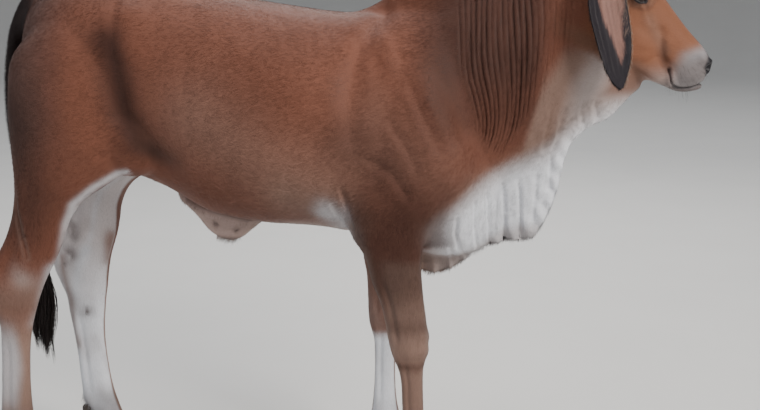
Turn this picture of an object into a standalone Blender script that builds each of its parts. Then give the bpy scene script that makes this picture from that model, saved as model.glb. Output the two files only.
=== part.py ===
"""Brahman cattle: a still, life-size model of a young animal standing square, in metres.

The animal faces +X, its left side is +Y and the ground is z = 0 where its soles stand. The flesh
is lofted from sections, melted into one surface by a voxel remesh and parted into named pieces by
thin cuts. Hooves, horns, eyes, ears and the tail are pieces of their own that sit in the flesh.
"""

import math
import random

import bmesh
import bpy
import numpy as np
from mathutils import Matrix, Vector

# Driving dimensions, in metres
GAP = 0.0003  # between two pieces that touch
BACK_HEIGHT = 1.205  # lowest point of the back, behind the hump
ORIGIN_SHIFT_X = 0.0988  # brings the middle of the whole length to x = 0
BODY_VOXEL = 0.008
HEAD_VOXEL = 0.0035
BODY_TRIANGLES = 6400
HEAD_TRIANGLES = 6300  # of the head with the neck that it is cut from
BODY_SMOOTHING, HEAD_SMOOTHING = 16, 18
RING = 36  # points round a section
STEP = 0.02  # spacing of the sections along a loft
SIDES = (("right", -1), ("left", 1))
ROUND, SOFT, FULL, SQUARE = 1.9, 2.1, 2.3, 2.5  # how square a section is; 2 is an ellipse

# Trunk: x, top, bottom, half width, height of the widest place
TRUNK = (
    (-0.900, 1.165, 0.90, 0.065, 1.03),
    (-0.870, 1.222, 0.86, 0.110, 1.05),
    (-0.800, 1.262, 0.82, 0.160, 1.08),
    (-0.700, 1.286, 0.79, 0.194, 1.12),
    (-0.610, 1.288, 0.785, 0.205, 1.12),
    (-0.520, 1.273, 0.750, 0.215, 1.05),
    (-0.420, 1.254, 0.698, 0.236, 1.00),
    (-0.300, 1.232, 0.676, 0.252, 0.97),
    (-0.180, 1.214, 0.672, 0.252, 0.95),
    (-0.080, BACK_HEIGHT, 0.660, 0.236, 0.94),
    (0.000, 1.212, 0.640, 0.215, 0.93),
    (0.080, 1.235, 0.615, 0.200, 0.91),
    (0.160, 1.235, 0.600, 0.185, 0.90),
    (0.240, 1.190, 0.610, 0.150, 0.88),
    (0.300, 1.120, 0.660, 0.090, 0.87),
)
# Hump: x, top, bottom, half width, height of the widest place
HUMP = (
    (-0.060, 1.205, 1.15, 0.030, 1.18),
    (0.000, 1.232, 1.12, 0.055, 1.17),
    (0.050, 1.270, 1.10, 0.072, 1.18),
    (0.100, 1.318, 1.08, 0.082, 1.19),
    (0.150, 1.345, 1.08, 0.084, 1.20),
    (0.200, 1.342, 1.08, 0.078, 1.20),
    (0.250, 1.318, 1.10, 0.066, 1.20),
    (0.310, 1.295, 1.14, 0.050, 1.21),
)
# Neck: x and z of its axis, upwards, downwards, half width
NECK = (
    (0.080, 0.950, 0.26, 0.30, 0.160),
    (0.220, 1.020, 0.25, 0.25, 0.150),
    (0.340, 1.090, 0.215, 0.21, 0.124),
    (0.440, 1.155, 0.185, 0.19, 0.104),
    (0.530, 1.215, 0.170, 0.17, 0.092),
    (0.600, 1.262, 0.130, 0.12, 0.070),
)
NECK_SLOPE = math.radians(31)
# Dewlap: outer edge x, z, then inner edge x, z, from between the forelegs up to the throat
DEWLAP = (
    (0.020, 0.590, 0.02, 0.72),
    (0.080, 0.560, 0.08, 0.74),
    (0.140, 0.548, 0.12, 0.76),
    (0.190, 0.566, 0.16, 0.78),
    (0.253, 0.612, 0.20, 0.80),
    (0.320, 0.636, 0.24, 0.83),
    (0.385, 0.645, 0.27, 0.86),
    (0.423, 0.700, 0.30, 0.88),
    (0.447, 0.765, 0.33, 0.91),
    (0.458, 0.830, 0.37, 0.95),
    (0.472, 0.880, 0.41, 0.99),
    (0.515, 0.925, 0.46, 1.03),
    (0.560, 0.945, 0.51, 1.07),
    (0.600, 0.990, 0.55, 1.10),
    (0.640, 1.028, 0.60, 1.12),
)
DEWLAP_FOLD = 0.009  # sideways swing of a fold at the hem
DEWLAP_PITCH = 0.046  # from one fold to the next, along the hem
DEWLAP_ROOT, DEWLAP_HEM = 0.058, 0.0095  # half thickness
# x, and how much of a full fold hangs there
DEWLAP_LOOSE = ((0.05, 0.30), (0.14, 1.0), (0.45, 1.0), (0.53, 0.30), (0.64, 0.15))
# Sheath below the navel: x, top, bottom, half width, height of the widest place
SHEATH = (
    (-0.520, 0.76, 0.725, 0.020, 0.745),
    (-0.480, 0.75, 0.690, 0.026, 0.715),
    (-0.440, 0.74, 0.642, 0.027, 0.680),
    (-0.400, 0.74, 0.622, 0.026, 0.660),
    (-0.360, 0.73, 0.624, 0.024, 0.660),
    (-0.320, 0.73, 0.655, 0.020, 0.690),
    (-0.285, 0.72, 0.680, 0.014, 0.700),
)
# Foreleg: height, front, back, outer and inner distance from the middle plane
FORELEG = (
    (1.130, 0.150, 0.010, 0.155, 0.060),
    (1.020, 0.195, -0.020, 0.198, 0.060),
    (0.920, 0.222, -0.045, 0.214, 0.060),
    (0.820, 0.215, -0.070, 0.212, 0.060),
    (0.740, 0.175, -0.070, 0.205, 0.065),
    (0.680, 0.135, -0.058, 0.195, 0.075),
    (0.620, 0.121, -0.022, 0.184, 0.084),
    (0.560, 0.122, -0.006, 0.176, 0.090),
    (0.510, 0.126, 0.014, 0.169, 0.093),
    (0.460, 0.132, 0.025, 0.165, 0.091),
    (0.410, 0.137, 0.034, 0.166, 0.086),
    (0.375, 0.135, 0.043, 0.165, 0.086),
    (0.340, 0.127, 0.058, 0.159, 0.093),
    (0.300, 0.126, 0.066, 0.155, 0.100),
    (0.220, 0.128, 0.068, 0.153, 0.102),
    (0.160, 0.135, 0.066, 0.158, 0.098),
    (0.125, 0.143, 0.064, 0.163, 0.093),
    (0.090, 0.150, 0.076, 0.160, 0.096),
    (0.060, 0.160, 0.074, 0.168, 0.088),
    (0.030, 0.162, 0.072, 0.166, 0.090),
)
# Hind leg: the same columns
HINDLEG = (
    (1.190, -0.640, -0.840, 0.180, 0.030),
    (1.100, -0.590, -0.890, 0.202, 0.030),
    (1.000, -0.565, -0.906, 0.214, 0.030),
    (0.900, -0.570, -0.908, 0.214, 0.018),
    (0.840, -0.592, -0.908, 0.206, 0.020),
    (0.790, -0.650, -0.906, 0.196, 0.030),
    (0.740, -0.726, -0.908, 0.186, 0.048),
    (0.690, -0.764, -0.918, 0.178, 0.062),
    (0.640, -0.782, -0.938, 0.172, 0.074),
    (0.590, -0.802, -0.966, 0.168, 0.084),
    (0.545, -0.826, -0.988, 0.166, 0.090),
    (0.505, -0.845, -0.994, 0.166, 0.090),
    (0.460, -0.862, -0.978, 0.165, 0.093),
    (0.415, -0.875, -0.963, 0.160, 0.098),
    (0.350, -0.884, -0.964, 0.156, 0.102),
    (0.240, -0.888, -0.969, 0.155, 0.104),
    (0.165, -0.885, -0.975, 0.160, 0.099),
    (0.125, -0.876, -0.974, 0.164, 0.094),
    (0.090, -0.864, -0.950, 0.161, 0.097),
    (0.060, -0.850, -0.944, 0.168, 0.089),
    (0.030, -0.848, -0.944, 0.166, 0.091),
)
# How far forward the left legs stand of the right ones: height, then at the front and at the back
FORELEG_SHIFT = (
    (1.200, 0.000, 0.000),
    (0.900, -0.005, -0.005),
    (0.680, -0.035, -0.035),
    (0.490, -0.070, -0.070),
    (0.300, -0.098, -0.098),
    (0.000, -0.108, -0.108),
)
HINDLEG_SHIFT = (
    (1.200, 0.000, 0.000),
    (0.900, 0.010, 0.010),
    (0.740, 0.045, 0.045),
    (0.637, 0.063, 0.066),
    (0.577, 0.073, 0.073),
    (0.511, 0.088, 0.079),
    (0.445, 0.102, 0.078),
    (0.389, 0.107, 0.082),
    (0.351, 0.108, 0.091),
    (0.303, 0.110, 0.100),
    (0.255, 0.115, 0.108),
    (0.207, 0.120, 0.114),
    (0.158, 0.124, 0.123),
    (0.000, 0.130, 0.130),
)
# Muscle and bone that show under the skin: centre, half sizes, pitch in degrees about Y
MASSES = (
    ((0.062, 0.105, 0.990), (0.085, 0.090, 0.190), -18),  # shoulder blade
    ((0.150, 0.118, 0.855), (0.100, 0.092, 0.120), 20),  # point of the shoulder
    ((0.030, 0.120, 0.770), (0.130, 0.090, 0.090), -25),  # upper arm
    ((-0.590, 0.105, 1.175), (0.100, 0.088, 0.070), 8),  # hook bone
    ((-0.730, 0.118, 1.000), (0.165, 0.104, 0.210), 12),  # thigh
    ((-0.855, 0.055, 1.050), (0.055, 0.050, 0.080), 0),  # pin bone
    ((-0.600, 0.110, 0.900), (0.100, 0.092, 0.100), 35),  # flank and stifle
)

# Head: its frame starts at the middle of the skull and runs to the muzzle, pitched down
HEAD_AT = (0.530, 1.300)
HEAD_PITCH = math.radians(32)
# along the head, top, bottom, half width at the top, half width at the bottom
SKULL = (
    (-0.080, 0.040, -0.090, 0.045, 0.040),
    (-0.045, 0.086, -0.120, 0.074, 0.058),
    (0.000, 0.081, -0.150, 0.090, 0.070),
    (0.050, 0.067, -0.160, 0.097, 0.070),
    (0.100, 0.050, -0.158, 0.090, 0.066),
    (0.150, 0.033, -0.146, 0.071, 0.058),
    (0.200, 0.014, -0.120, 0.056, 0.052),
    (0.245, -0.002, -0.112, 0.047, 0.051),
    (0.285, -0.013, -0.130, 0.044, 0.052),
    (0.310, -0.021, -0.124, 0.043, 0.050),
    (0.330, -0.032, -0.108, 0.036, 0.044),
    (0.344, -0.052, -0.084, 0.018, 0.026),
)
JAW = (
    (0.000, -0.060, -0.160, 0.058, 0.048),
    (0.060, -0.070, -0.178, 0.064, 0.044),
    (0.120, -0.080, -0.182, 0.062, 0.036),
    (0.180, -0.085, -0.172, 0.052, 0.031),
    (0.230, -0.090, -0.157, 0.044, 0.029),
    (0.265, -0.095, -0.149, 0.042, 0.028),
    (0.290, -0.098, -0.144, 0.040, 0.028),
    (0.315, -0.096, -0.136, 0.036, 0.027),
    (0.336, -0.092, -0.121, 0.030, 0.022),
    (0.349, -0.092, -0.108, 0.018, 0.014),
)
# Swellings of the head in its own frame: centre and half sizes along, sideways and up
SWELLINGS = (
    ((0.118, 0.040, -0.098), (0.096, 0.034, 0.066)),  # cheek
    ((0.098, 0.058, 0.000), (0.045, 0.0390, 0.035)),  # lids
    ((0.078, 0.054, 0.018), (0.066, 0.034, 0.028)),  # brow
    ((0.170, 0.037, -0.052), (0.085, 0.021, 0.017)),  # facial crest
    ((0.225, 0.034, -0.122), (0.070, 0.018, 0.030)),  # side of the mouth
    ((0.306, 0.026, -0.044), (0.034, 0.020, 0.018)),  # nostril
)
EYE_AT = (0.098, 0.0735, 0.001)  # along, sideways, up, in the head's frame
EYE_RADIUS = 0.0220
EYE_OPENING = (0.0185, 0.022, 0.0120)  # half sizes along, sideways, up
EYE_OPENING_OUT = 0.014  # from the middle of the eye out to the middle of its opening
EYE_SLANT = 12  # degrees that the front corner of the lids lies lower
NOSTRIL_AT = (0.337, 0.030, -0.047)
NOSTRIL = (0.014, 0.0085, 0.012)
MOUTH_LINE = (
    (0.258, -0.104),
    (0.268, -0.115),
    (0.283, -0.129),
    (0.300, -0.130),
    (0.318, -0.120),
    (0.333, -0.106),
    (0.345, -0.090),
    (0.360, -0.078),
)
MOUTH_OPEN, MOUTH_DEPTH = 0.0030, 0.010
MOUTH_REACH = 0.090  # half width of the blade that cuts the line of the mouth

# Ear: x, y, z of its middle line, half width, half thickness, cup as a share of the half width
EAR = (
    (0.548, 0.060, 1.300, 0.020, 0.0130, 0.00),
    (0.540, 0.088, 1.300, 0.025, 0.0100, 0.35),
    (0.531, 0.112, 1.285, 0.036, 0.0060, 0.45),
    (0.527, 0.128, 1.255, 0.047, 0.0042, 0.44),
    (0.531, 0.137, 1.215, 0.051, 0.0038, 0.40),
    (0.543, 0.141, 1.165, 0.049, 0.0034, 0.38),
    (0.555, 0.141, 1.120, 0.043, 0.0030, 0.34),
    (0.565, 0.138, 1.080, 0.032, 0.0026, 0.28),
    (0.573, 0.134, 1.055, 0.019, 0.0022, 0.20),
    (0.579, 0.131, 1.038, 0.005, 0.0016, 0.00),
)
EAR_FACING = (0.50, 0.85, 0.30)  # the way the cup opens, for the left ear
# Horn: x, y, z, radius
HORN = (
    (0.540, 0.030, 1.368, 0.0190),
    (0.528, 0.060, 1.380, 0.0190),
    (0.518, 0.080, 1.390, 0.0165),
    (0.511, 0.095, 1.405, 0.0125),
    (0.508, 0.103, 1.422, 0.0080),
    (0.509, 0.106, 1.433, 0.0035),
)
# Tail: x, y, z, radius
TAIL = (
    (-0.790, 0.000, 1.222, 0.028),
    (-0.840, 0.000, 1.240, 0.029),
    (-0.883, 0.000, 1.222, 0.027),
    (-0.911, 0.000, 1.180, 0.025),
    (-0.930, 0.000, 1.130, 0.0225),
    (-0.946, 0.000, 1.050, 0.019),
    (-0.950, 0.000, 0.950, 0.017),
    (-0.941, 0.004, 0.820, 0.0155),
    (-0.922, 0.008, 0.690, 0.0140),
    (-0.908, 0.008, 0.600, 0.0130),
    (-0.903, 0.006, 0.540, 0.0120),
)
TAIL_END = 0.575  # height where the switch begins
SWITCH_CORE = (
    (-0.905, 0.006, 0.590, 0.0130),
    (-0.905, 0.005, 0.540, 0.0160),
    (-0.907, 0.003, 0.480, 0.0170),
    (-0.909, 0.001, 0.430, 0.0110),
    (-0.910, 0.000, 0.400, 0.0030),
)
LOCKS = 16
LOCK_SEED = 4
LOCK_TURN = 2.39996  # radians from one lock to the next, so that they spread evenly
LOCK_TOP, LOCK_ROOTS = 0.572, 0.115  # height of the highest root, and how far down the roots reach
LOCK_TIP = 0.259  # height of the lowest tip
LOCK_TIP_X = 0.026  # how far the longest lock swings forward
LOCK_LENGTH = (0.76, 0.93)  # of the others, as a share of the way to the lowest tip
LOCK_BULGE = (0.014, 0.030)  # how far a lock stands off the middle of the switch
LOCK_SWAY = 0.008
LOCK_WIDTH, LOCK_THICK = 0.0135, 0.0034  # half sizes at the widest place
LOCK_RINGS = 5

# Hooves: the height of the coronet, and how each claw stands round its leg
CORONET = 0.050
CLAW_SPLIT = 0.006
FOREHOOF = (0.188, 0.078, 0.174, 0.084)  # front, back, outer and inner edge at the ground
HINDHOOF = (-0.820, -0.938, 0.174, 0.086)
TOE_SLOPE, HEEL_SLOPE = 0.75, 0.05  # how far a wall runs in for each metre of height
CLAW_LEVELS = ((0.0, 0.93), (0.008, 1.0), (0.030, 0.98), (CORONET - GAP, 0.92))  # height, share of the width
TOE_NARROW, TOE_TURN = 0.30, 0.010  # how much a toe narrows, and how far it turns to its neighbour
DEWCLAW = (0.013, 0.010, 0.016)  # half sizes
DEWCLAW_HEIGHT = 0.104
DEWCLAW_APART = 0.040
DEWCLAW_PITCH = 25

# Planes that part the flesh: a point of each in x and z, and how far it leans, in degrees
HEAD_PLANE = ((0.505, 1.300), -16)
NECK_PLANE = ((0.235, 1.000), 0)
HUMP_PLANE = ((0.000, 1.213), -102)
HUMP_START = ((-0.080, 1.200), 0)
DEWLAP_PLANE = ((0.235, 0.800), 64)
FORELEG_PLANE = ((0.000, 0.655), 90)
FORELEG_START, FORELEG_SPACE, FORELEG_INSIDE = ((-0.300, 0.500), 0), 0.445, 0.055
HINDLEG_PLANE = ((-0.700, 0.770), 90)
HINDLEG_START = ((-0.620, 0.500), 180)
SHEATH_PLANE = ((-0.400, 0.668), 90)
SHEATH_START, SHEATH_SPACE = ((-0.550, 0.700), 0), 0.300
LEG_END = ((0.000, CORONET), -90)
FAR = 3.0  # past the end of every piece


def spline(rows, step=STEP, places=2):
    """Rows joined by a Catmull-Rom curve and taken again about every step along the first places."""
    rows = np.array(rows, float)
    ends = np.vstack([2 * rows[0] - rows[1], rows, 2 * rows[-1] - rows[-2]])
    out = []
    for i in range(1, len(rows)):
        before, start, end, after = ends[i - 1 : i + 3]
        count = max(1, round(np.linalg.norm(end[:places] - start[:places]) / step))
        for t in np.arange(count) / count:
            out.append(
                0.5
                * (
                    2 * start
                    + (end - before) * t
                    + (2 * before - 5 * start + 4 * end - after) * t**2
                    + (3 * start - before - 3 * end + after) * t**3
                )
            )
    return np.array(out + [rows[-1]])


def superellipse(power):
    """Cosine and sine round a section, squarer than a circle for a power over 2."""
    angle = np.arange(RING) * 2 * math.pi / RING
    cos, sin = np.cos(angle), np.sin(angle)
    return np.sign(cos) * np.abs(cos) ** (2 / power), np.sign(sin) * np.abs(sin) ** (2 / power)


def upright_rings(rows, power=SOFT):
    """Sections across X, each from its top, bottom, half width and the height of its widest place."""
    across, rise = superellipse(power)
    rings = []
    for x, top, bottom, half, widest in spline(rows):
        height = np.where(rise > 0, top - widest, widest - bottom)
        rings.append(np.stack([np.full(RING, x), half * across, widest + rise * height], axis=1))
    return rings


def leg_rings(rows, side, shift):
    """Level sections of a leg; side is -1 for the right and 1 for the left, which stands shifted."""
    across, along = superellipse(FULL)
    rings = []
    for z, front, back, outer, inner in spline(rows):
        more_front, more_back = shift_at(shift, z, side)
        front, back = front + more_front, back + more_back
        x = (front + back) / 2 + along * (front - back) / 2
        y = side * ((outer + inner) / 2 + across * (outer - inner) / 2)
        rings.append(np.stack([x, y, np.full(RING, z)], axis=1))
    return rings


def neck_rings(rows):
    """Sections across the neck's slope."""
    across, rise = superellipse(SOFT)
    up = np.array([-math.sin(NECK_SLOPE), 0, math.cos(NECK_SLOPE)])
    rings = []
    for x, z, above, below, half in spline(rows):
        height = np.where(rise > 0, above, below) * rise
        rings.append(np.array([x, 0, z]) + np.outer(height, up) + np.outer(half * across, (0, 1, 0)))
    return rings


def in_head(along, sideways, up):
    """A point of the head's own frame in the animal's frame."""
    cos, sin = math.cos(HEAD_PITCH), math.sin(HEAD_PITCH)
    x, z = HEAD_AT[0] + along * cos + up * sin, HEAD_AT[1] - along * sin + up * cos
    return np.stack(np.broadcast_arrays(x, sideways, z), axis=-1)


def head_rings(rows, power=SQUARE):
    """Sections across the head, whose sides lean from the top's half width to the bottom's."""
    across, rise = superellipse(power)
    rings = []
    for along, top, bottom, half_top, half_bottom in spline(rows, 0.012):
        up = (top + bottom) / 2 + rise * (top - bottom) / 2
        half = half_bottom + (half_top - half_bottom) * (rise + 1) / 2
        rings.append(in_head(along, across * half, up))
    return rings


def dewlap_rings():
    """A hanging sheet: each section runs from its root in the neck to the hem, which swings in folds."""
    rows = spline(DEWLAP, 0.008)
    outer, inner = rows[:, :2], rows[:, 2:]
    length = np.concatenate([[0], np.cumsum(np.linalg.norm(np.diff(outer, axis=0), axis=1))])
    places, shares = zip(*DEWLAP_LOOSE)
    down = np.sin(np.linspace(0, math.pi / 2, RING // 2))
    rings = []
    for edge, root, s in zip(outer, inner, length):
        line = root + np.outer(down, edge - root)
        phase = 2 * math.pi * s / DEWLAP_PITCH
        loose = np.interp(edge[0], places, shares)
        swing = DEWLAP_FOLD * loose * (math.sin(phase) + 0.45 * math.sin(2.3 * phase + 1)) * down**3
        half = DEWLAP_HEM + (DEWLAP_ROOT - DEWLAP_HEM) * (1 - down) ** 1.1
        half = half * np.sqrt(np.clip(1 - down**24, 0.06, 1))
        sides = [np.column_stack([line[:, 0], swing + sign * half, line[:, 1]]) for sign in (1, -1)]
        rings.append(np.vstack([sides[0], sides[1][::-1]]))
    return rings


def loft(name, rings):
    """A closed mesh object: the rings joined by quads, with a flat cap at each end."""
    count = len(rings[0])
    mesh = bpy.data.meshes.new(name)
    faces = []
    for i in range(len(rings) - 1):
        a = i * count
        for j in range(count):
            k = (j + 1) % count
            faces.append((a + j, a + k, a + count + k, a + count + j))
    faces.append(tuple(range(count))[::-1])
    faces.append(tuple(range((len(rings) - 1) * count, len(rings) * count)))
    mesh.from_pydata(np.concatenate(rings).tolist(), [], faces)
    shape = bmesh.new()
    shape.from_mesh(mesh)
    bmesh.ops.recalc_face_normals(shape, faces=shape.faces)
    bmesh.ops.triangulate(shape, faces=shape.faces, quad_method="FIXED")
    shape.to_mesh(mesh)
    shape.free()
    return new_object(name, mesh)


def new_object(name, mesh):
    obj = bpy.data.objects.new(name, mesh)
    bpy.context.scene.collection.objects.link(obj)
    return obj


def ellipsoid(name, centre, sizes, pitch=0.0, segments=24):
    mesh = bpy.data.meshes.new(name)
    shape = bmesh.new()
    bmesh.ops.create_uvsphere(shape, u_segments=segments, v_segments=segments // 2, radius=1)
    turn = Matrix.Rotation(math.radians(pitch), 4, "Y") @ Matrix.Diagonal((*sizes, 1))
    bmesh.ops.transform(shape, matrix=Matrix.Translation(centre) @ turn, verts=shape.verts)
    shape.to_mesh(mesh)
    shape.free()
    return new_object(name, mesh)


def applied(obj):
    """The object with its modifiers made into its mesh."""
    graph = bpy.context.evaluated_depsgraph_get()
    mesh = bpy.data.meshes.new_from_object(obj.evaluated_get(graph))
    obj.modifiers.clear()
    obj.data = mesh
    return obj


def joined(name, objects):
    """One object that holds every mesh of the list."""
    whole = bmesh.new()
    for obj in objects:
        whole.from_mesh(obj.data)
        bpy.data.objects.remove(obj)
    mesh = bpy.data.meshes.new(name)
    whole.to_mesh(mesh)
    whole.free()
    return new_object(name, mesh)


def melted(obj, voxel, smoothing, triangles):
    """Overlapping closed shapes as one soft surface of about the given number of triangles."""
    remesh = obj.modifiers.new("melt", "REMESH")
    remesh.mode = "VOXEL"
    remesh.voxel_size = voxel
    soft = obj.modifiers.new("soften", "SMOOTH")
    soft.factor = 0.5
    soft.iterations = smoothing
    applied(obj)
    fewer = obj.modifiers.new("fewer", "DECIMATE")
    fewer.ratio = triangles / (2 * len(obj.data.polygons))
    fewer.use_collapse_triangulate = True
    return applied(obj)


def boolean(obj, other, operation, keep=False):
    """Cuts, joins or intersects obj with other, which is then removed."""
    cut = obj.modifiers.new("cut", "BOOLEAN")
    cut.operation = operation
    cut.solver = "MANIFOLD"
    cut.object = other
    applied(obj)
    if not keep:
        bpy.data.objects.remove(other)
    return obj


def box(name, low, high, pitch=0.0, pivot=(0, 0, 0)):
    """A block from its corner points, pitched about Y round a pivot."""
    mesh = bpy.data.meshes.new(name)
    shape = bmesh.new()
    low, high = Vector(low), Vector(high)
    fit = Matrix.Translation((low + high) / 2) @ Matrix.Diagonal((*(high - low), 1))
    bmesh.ops.create_cube(shape, size=1, matrix=fit)
    turn = Matrix.Translation(pivot) @ Matrix.Rotation(pitch, 4, "Y") @ Matrix.Translation(-Vector(pivot))
    bmesh.ops.transform(shape, matrix=turn, verts=shape.verts)
    shape.to_mesh(mesh)
    shape.free()
    return new_object(name, mesh)


def copy_of(obj, name):
    return new_object(name, obj.data.copy())


def flesh():
    """Trunk, hump, neck, dewlap, sheath and legs as one surface."""
    pieces = [
        loft("trunk", upright_rings(TRUNK)),
        loft("hump", upright_rings(HUMP, ROUND)),
        loft("neck", neck_rings(NECK)),
        loft("dewlap", dewlap_rings()),
        loft("sheath", upright_rings(SHEATH)),
    ]
    for word, side in SIDES:
        pieces.append(loft("fore_" + word, leg_rings(FORELEG, side, FORELEG_SHIFT)))
        pieces.append(loft("hind_" + word, leg_rings(HINDLEG, side, HINDLEG_SHIFT)))
        for centre, sizes, pitch in MASSES:
            pieces.append(ellipsoid("mass", (centre[0], side * centre[1], centre[2]), sizes, pitch))
    return joined("body", pieces)


def skull():
    """The bones and soft parts of the head, before they melt together."""
    pieces = [loft("skull", head_rings(SKULL)), loft("jaw", head_rings(JAW, SOFT))]
    for centre, sizes in SWELLINGS:
        for _, side in SIDES:
            pieces.append(in_head_ellipsoid("swelling", centre, sizes, side))
    return pieces


def in_head_ellipsoid(name, centre, sizes, side, slant=0.0, segments=24):
    """An ellipsoid set in the head's frame."""
    at = in_head(centre[0], side * centre[1], centre[2])
    return ellipsoid(name, tuple(at), sizes, slant + math.degrees(HEAD_PITCH), segments)


def path_rings(rows, grow=0.0, count=10):
    """Round sections square to a path of x, y, z and radius; growing also lengthens its first end."""
    rows = spline(rows, 0.05, 3)
    points, radii = rows[:, :3], rows[:, 3] + grow
    ahead = np.gradient(points, axis=0)
    ahead /= np.linalg.norm(ahead, axis=1)[:, None]
    points[0] -= ahead[0] * grow
    side = np.array([0.0, 1.0, 0.0]) if abs(ahead[0][1]) < 0.7 else np.array([1.0, 0.0, 0.0])
    angle = np.arange(count) * 2 * math.pi / count
    rings = []
    for point, radius, way in zip(points, radii, ahead):
        side = side - side.dot(way) * way
        side /= np.linalg.norm(side)
        up = np.cross(way, side)
        rings.append(point + radius * (np.outer(np.cos(angle), side) + np.outer(np.sin(angle), up)))
    return rings


def ear_rings(side, grow=0.0):
    """Crescent sections of a drooping ear, whose margins curl towards the side that it faces."""
    rows = spline(EAR, 0.024, 3)
    points = rows[:, :3] * (1, side, 1)
    ahead = np.gradient(points, axis=0)
    ahead /= np.linalg.norm(ahead, axis=1)[:, None]
    points[0] -= ahead[0] * grow
    facing = np.array(EAR_FACING) * (1, side, 1)
    across = np.linspace(-1, 1, 8)
    rings = []
    for point, way, (half, thick, cup) in zip(points, ahead, rows[:, 3:]):
        normal = facing - facing.dot(way) * way
        normal /= np.linalg.norm(normal)
        wide = np.cross(way, normal)
        middle = point + np.outer(across * (half + grow), wide) + np.outer(cup * half * across**2, normal)
        skin = (thick + grow) * np.sqrt(np.clip(1 - 0.9 * across**4, 0.1, 1))
        sides = [middle + np.outer(sign * skin, normal) for sign in (1, -1)]
        rings.append(np.vstack([sides[0], sides[1][::-1]]))
    return rings


def mirrored_path(rows, side):
    return [(x, side * y, z, radius) for x, y, z, radius in rows]


def mouth_cutter():
    """A blade along the mouth line that reaches only as deep as the lips are thick."""
    corners = ((-1, -1), (1, -1), (1, 1), (-1, 1))
    rings = [
        np.array([in_head(along, MOUTH_REACH * y, up + MOUTH_OPEN / 2 * z) for y, z in corners])
        for along, up in spline(MOUTH_LINE, 0.008)
    ]
    blade = loft("mouth", rings)
    deeper = 2.2 * MOUTH_DEPTH
    inner = [
        (along - MOUTH_DEPTH, top + 0.05, bottom - 0.06, half_top - MOUTH_DEPTH, half_bottom - deeper)
        for along, top, bottom, half_top, half_bottom in SKULL
    ]
    deep = loft("gums", head_rings(inner))
    return boolean(blade, deep, "DIFFERENCE")


def claw(name, hoof, side, share):
    """One claw: level sections from the flat sole up to the coronet; share is 0 inside and 1 outside."""
    front, back, outer, inner = hoof
    half = (outer - inner - CLAW_SPLIT) / 4
    middle = inner + half + share * (2 * half + CLAW_SPLIT)
    angle = np.arange(16) * 2 * math.pi / 16
    rings = []
    cos, sin = np.cos(angle), np.sin(angle)
    near_toe = np.clip(cos, 0, 1) ** 2
    for z, swell in CLAW_LEVELS:
        toe, heel = front - TOE_SLOPE * z, back + HEEL_SLOPE * z
        x = (toe + heel) / 2 + (toe - heel) / 2 * np.sign(cos) * np.abs(cos) ** 0.85
        width = half * swell * (1 - TOE_NARROW * near_toe)
        y = middle + (0.5 - share) * TOE_TURN * near_toe + width * np.sign(sin) * np.abs(sin) ** 0.8
        rings.append(np.stack([x, side * y, np.full(16, z)], axis=1))
    return loft(name, rings)


def region(name, at, pitch, ahead, side_from=-1.0, side_to=1.0, grow=0.0):
    """The space in front of a plane through at, which leans by pitch about Y, out to a distance ahead."""
    x, z = at
    low = (x - grow, side_from - grow, z - 2)
    high = (x + ahead + grow, side_to + grow, z + 2)
    return box(name, low, high, math.radians(pitch), (x, 0, z))


def part_off(rest, name, *spaces):
    """Cuts the piece inside every space off the rest, with a thin gap between the two."""
    piece = copy_of(rest, name)
    gap = GAP / 2
    outer = None
    for space in spaces:
        piece = boolean(piece, space(-gap), "INTERSECT")
        outer = space(gap) if outer is None else boolean(outer, space(gap), "INTERSECT")
    boolean(rest, outer, "DIFFERENCE")
    return largest(piece)


def largest(obj):
    """Keeps only the largest closed surface."""
    shape = bmesh.new()
    shape.from_mesh(obj.data)
    shape.verts.ensure_lookup_table()
    seen, groups = set(), []
    for vert in shape.verts:
        if vert.index in seen:
            continue
        stack, group = [vert], []
        seen.add(vert.index)
        while stack:
            here = stack.pop()
            group.append(here)
            for edge in here.link_edges:
                other = edge.other_vert(here)
                if other.index not in seen:
                    seen.add(other.index)
                    stack.append(other)
        groups.append(group)
    groups.sort(key=len)
    for group in groups[:-1]:
        bmesh.ops.delete(shape, geom=group, context="VERTS")
    bmesh.ops.triangulate(shape, faces=shape.faces)
    shape.to_mesh(obj.data)
    shape.free()
    return obj


def half_space(at, pitch, ahead=FAR, side_from=-1.0, side_to=1.0):
    """The same space as a function of how much it grows."""
    return lambda grow: region("space", at, pitch, ahead, side_from, side_to, grow)


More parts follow.
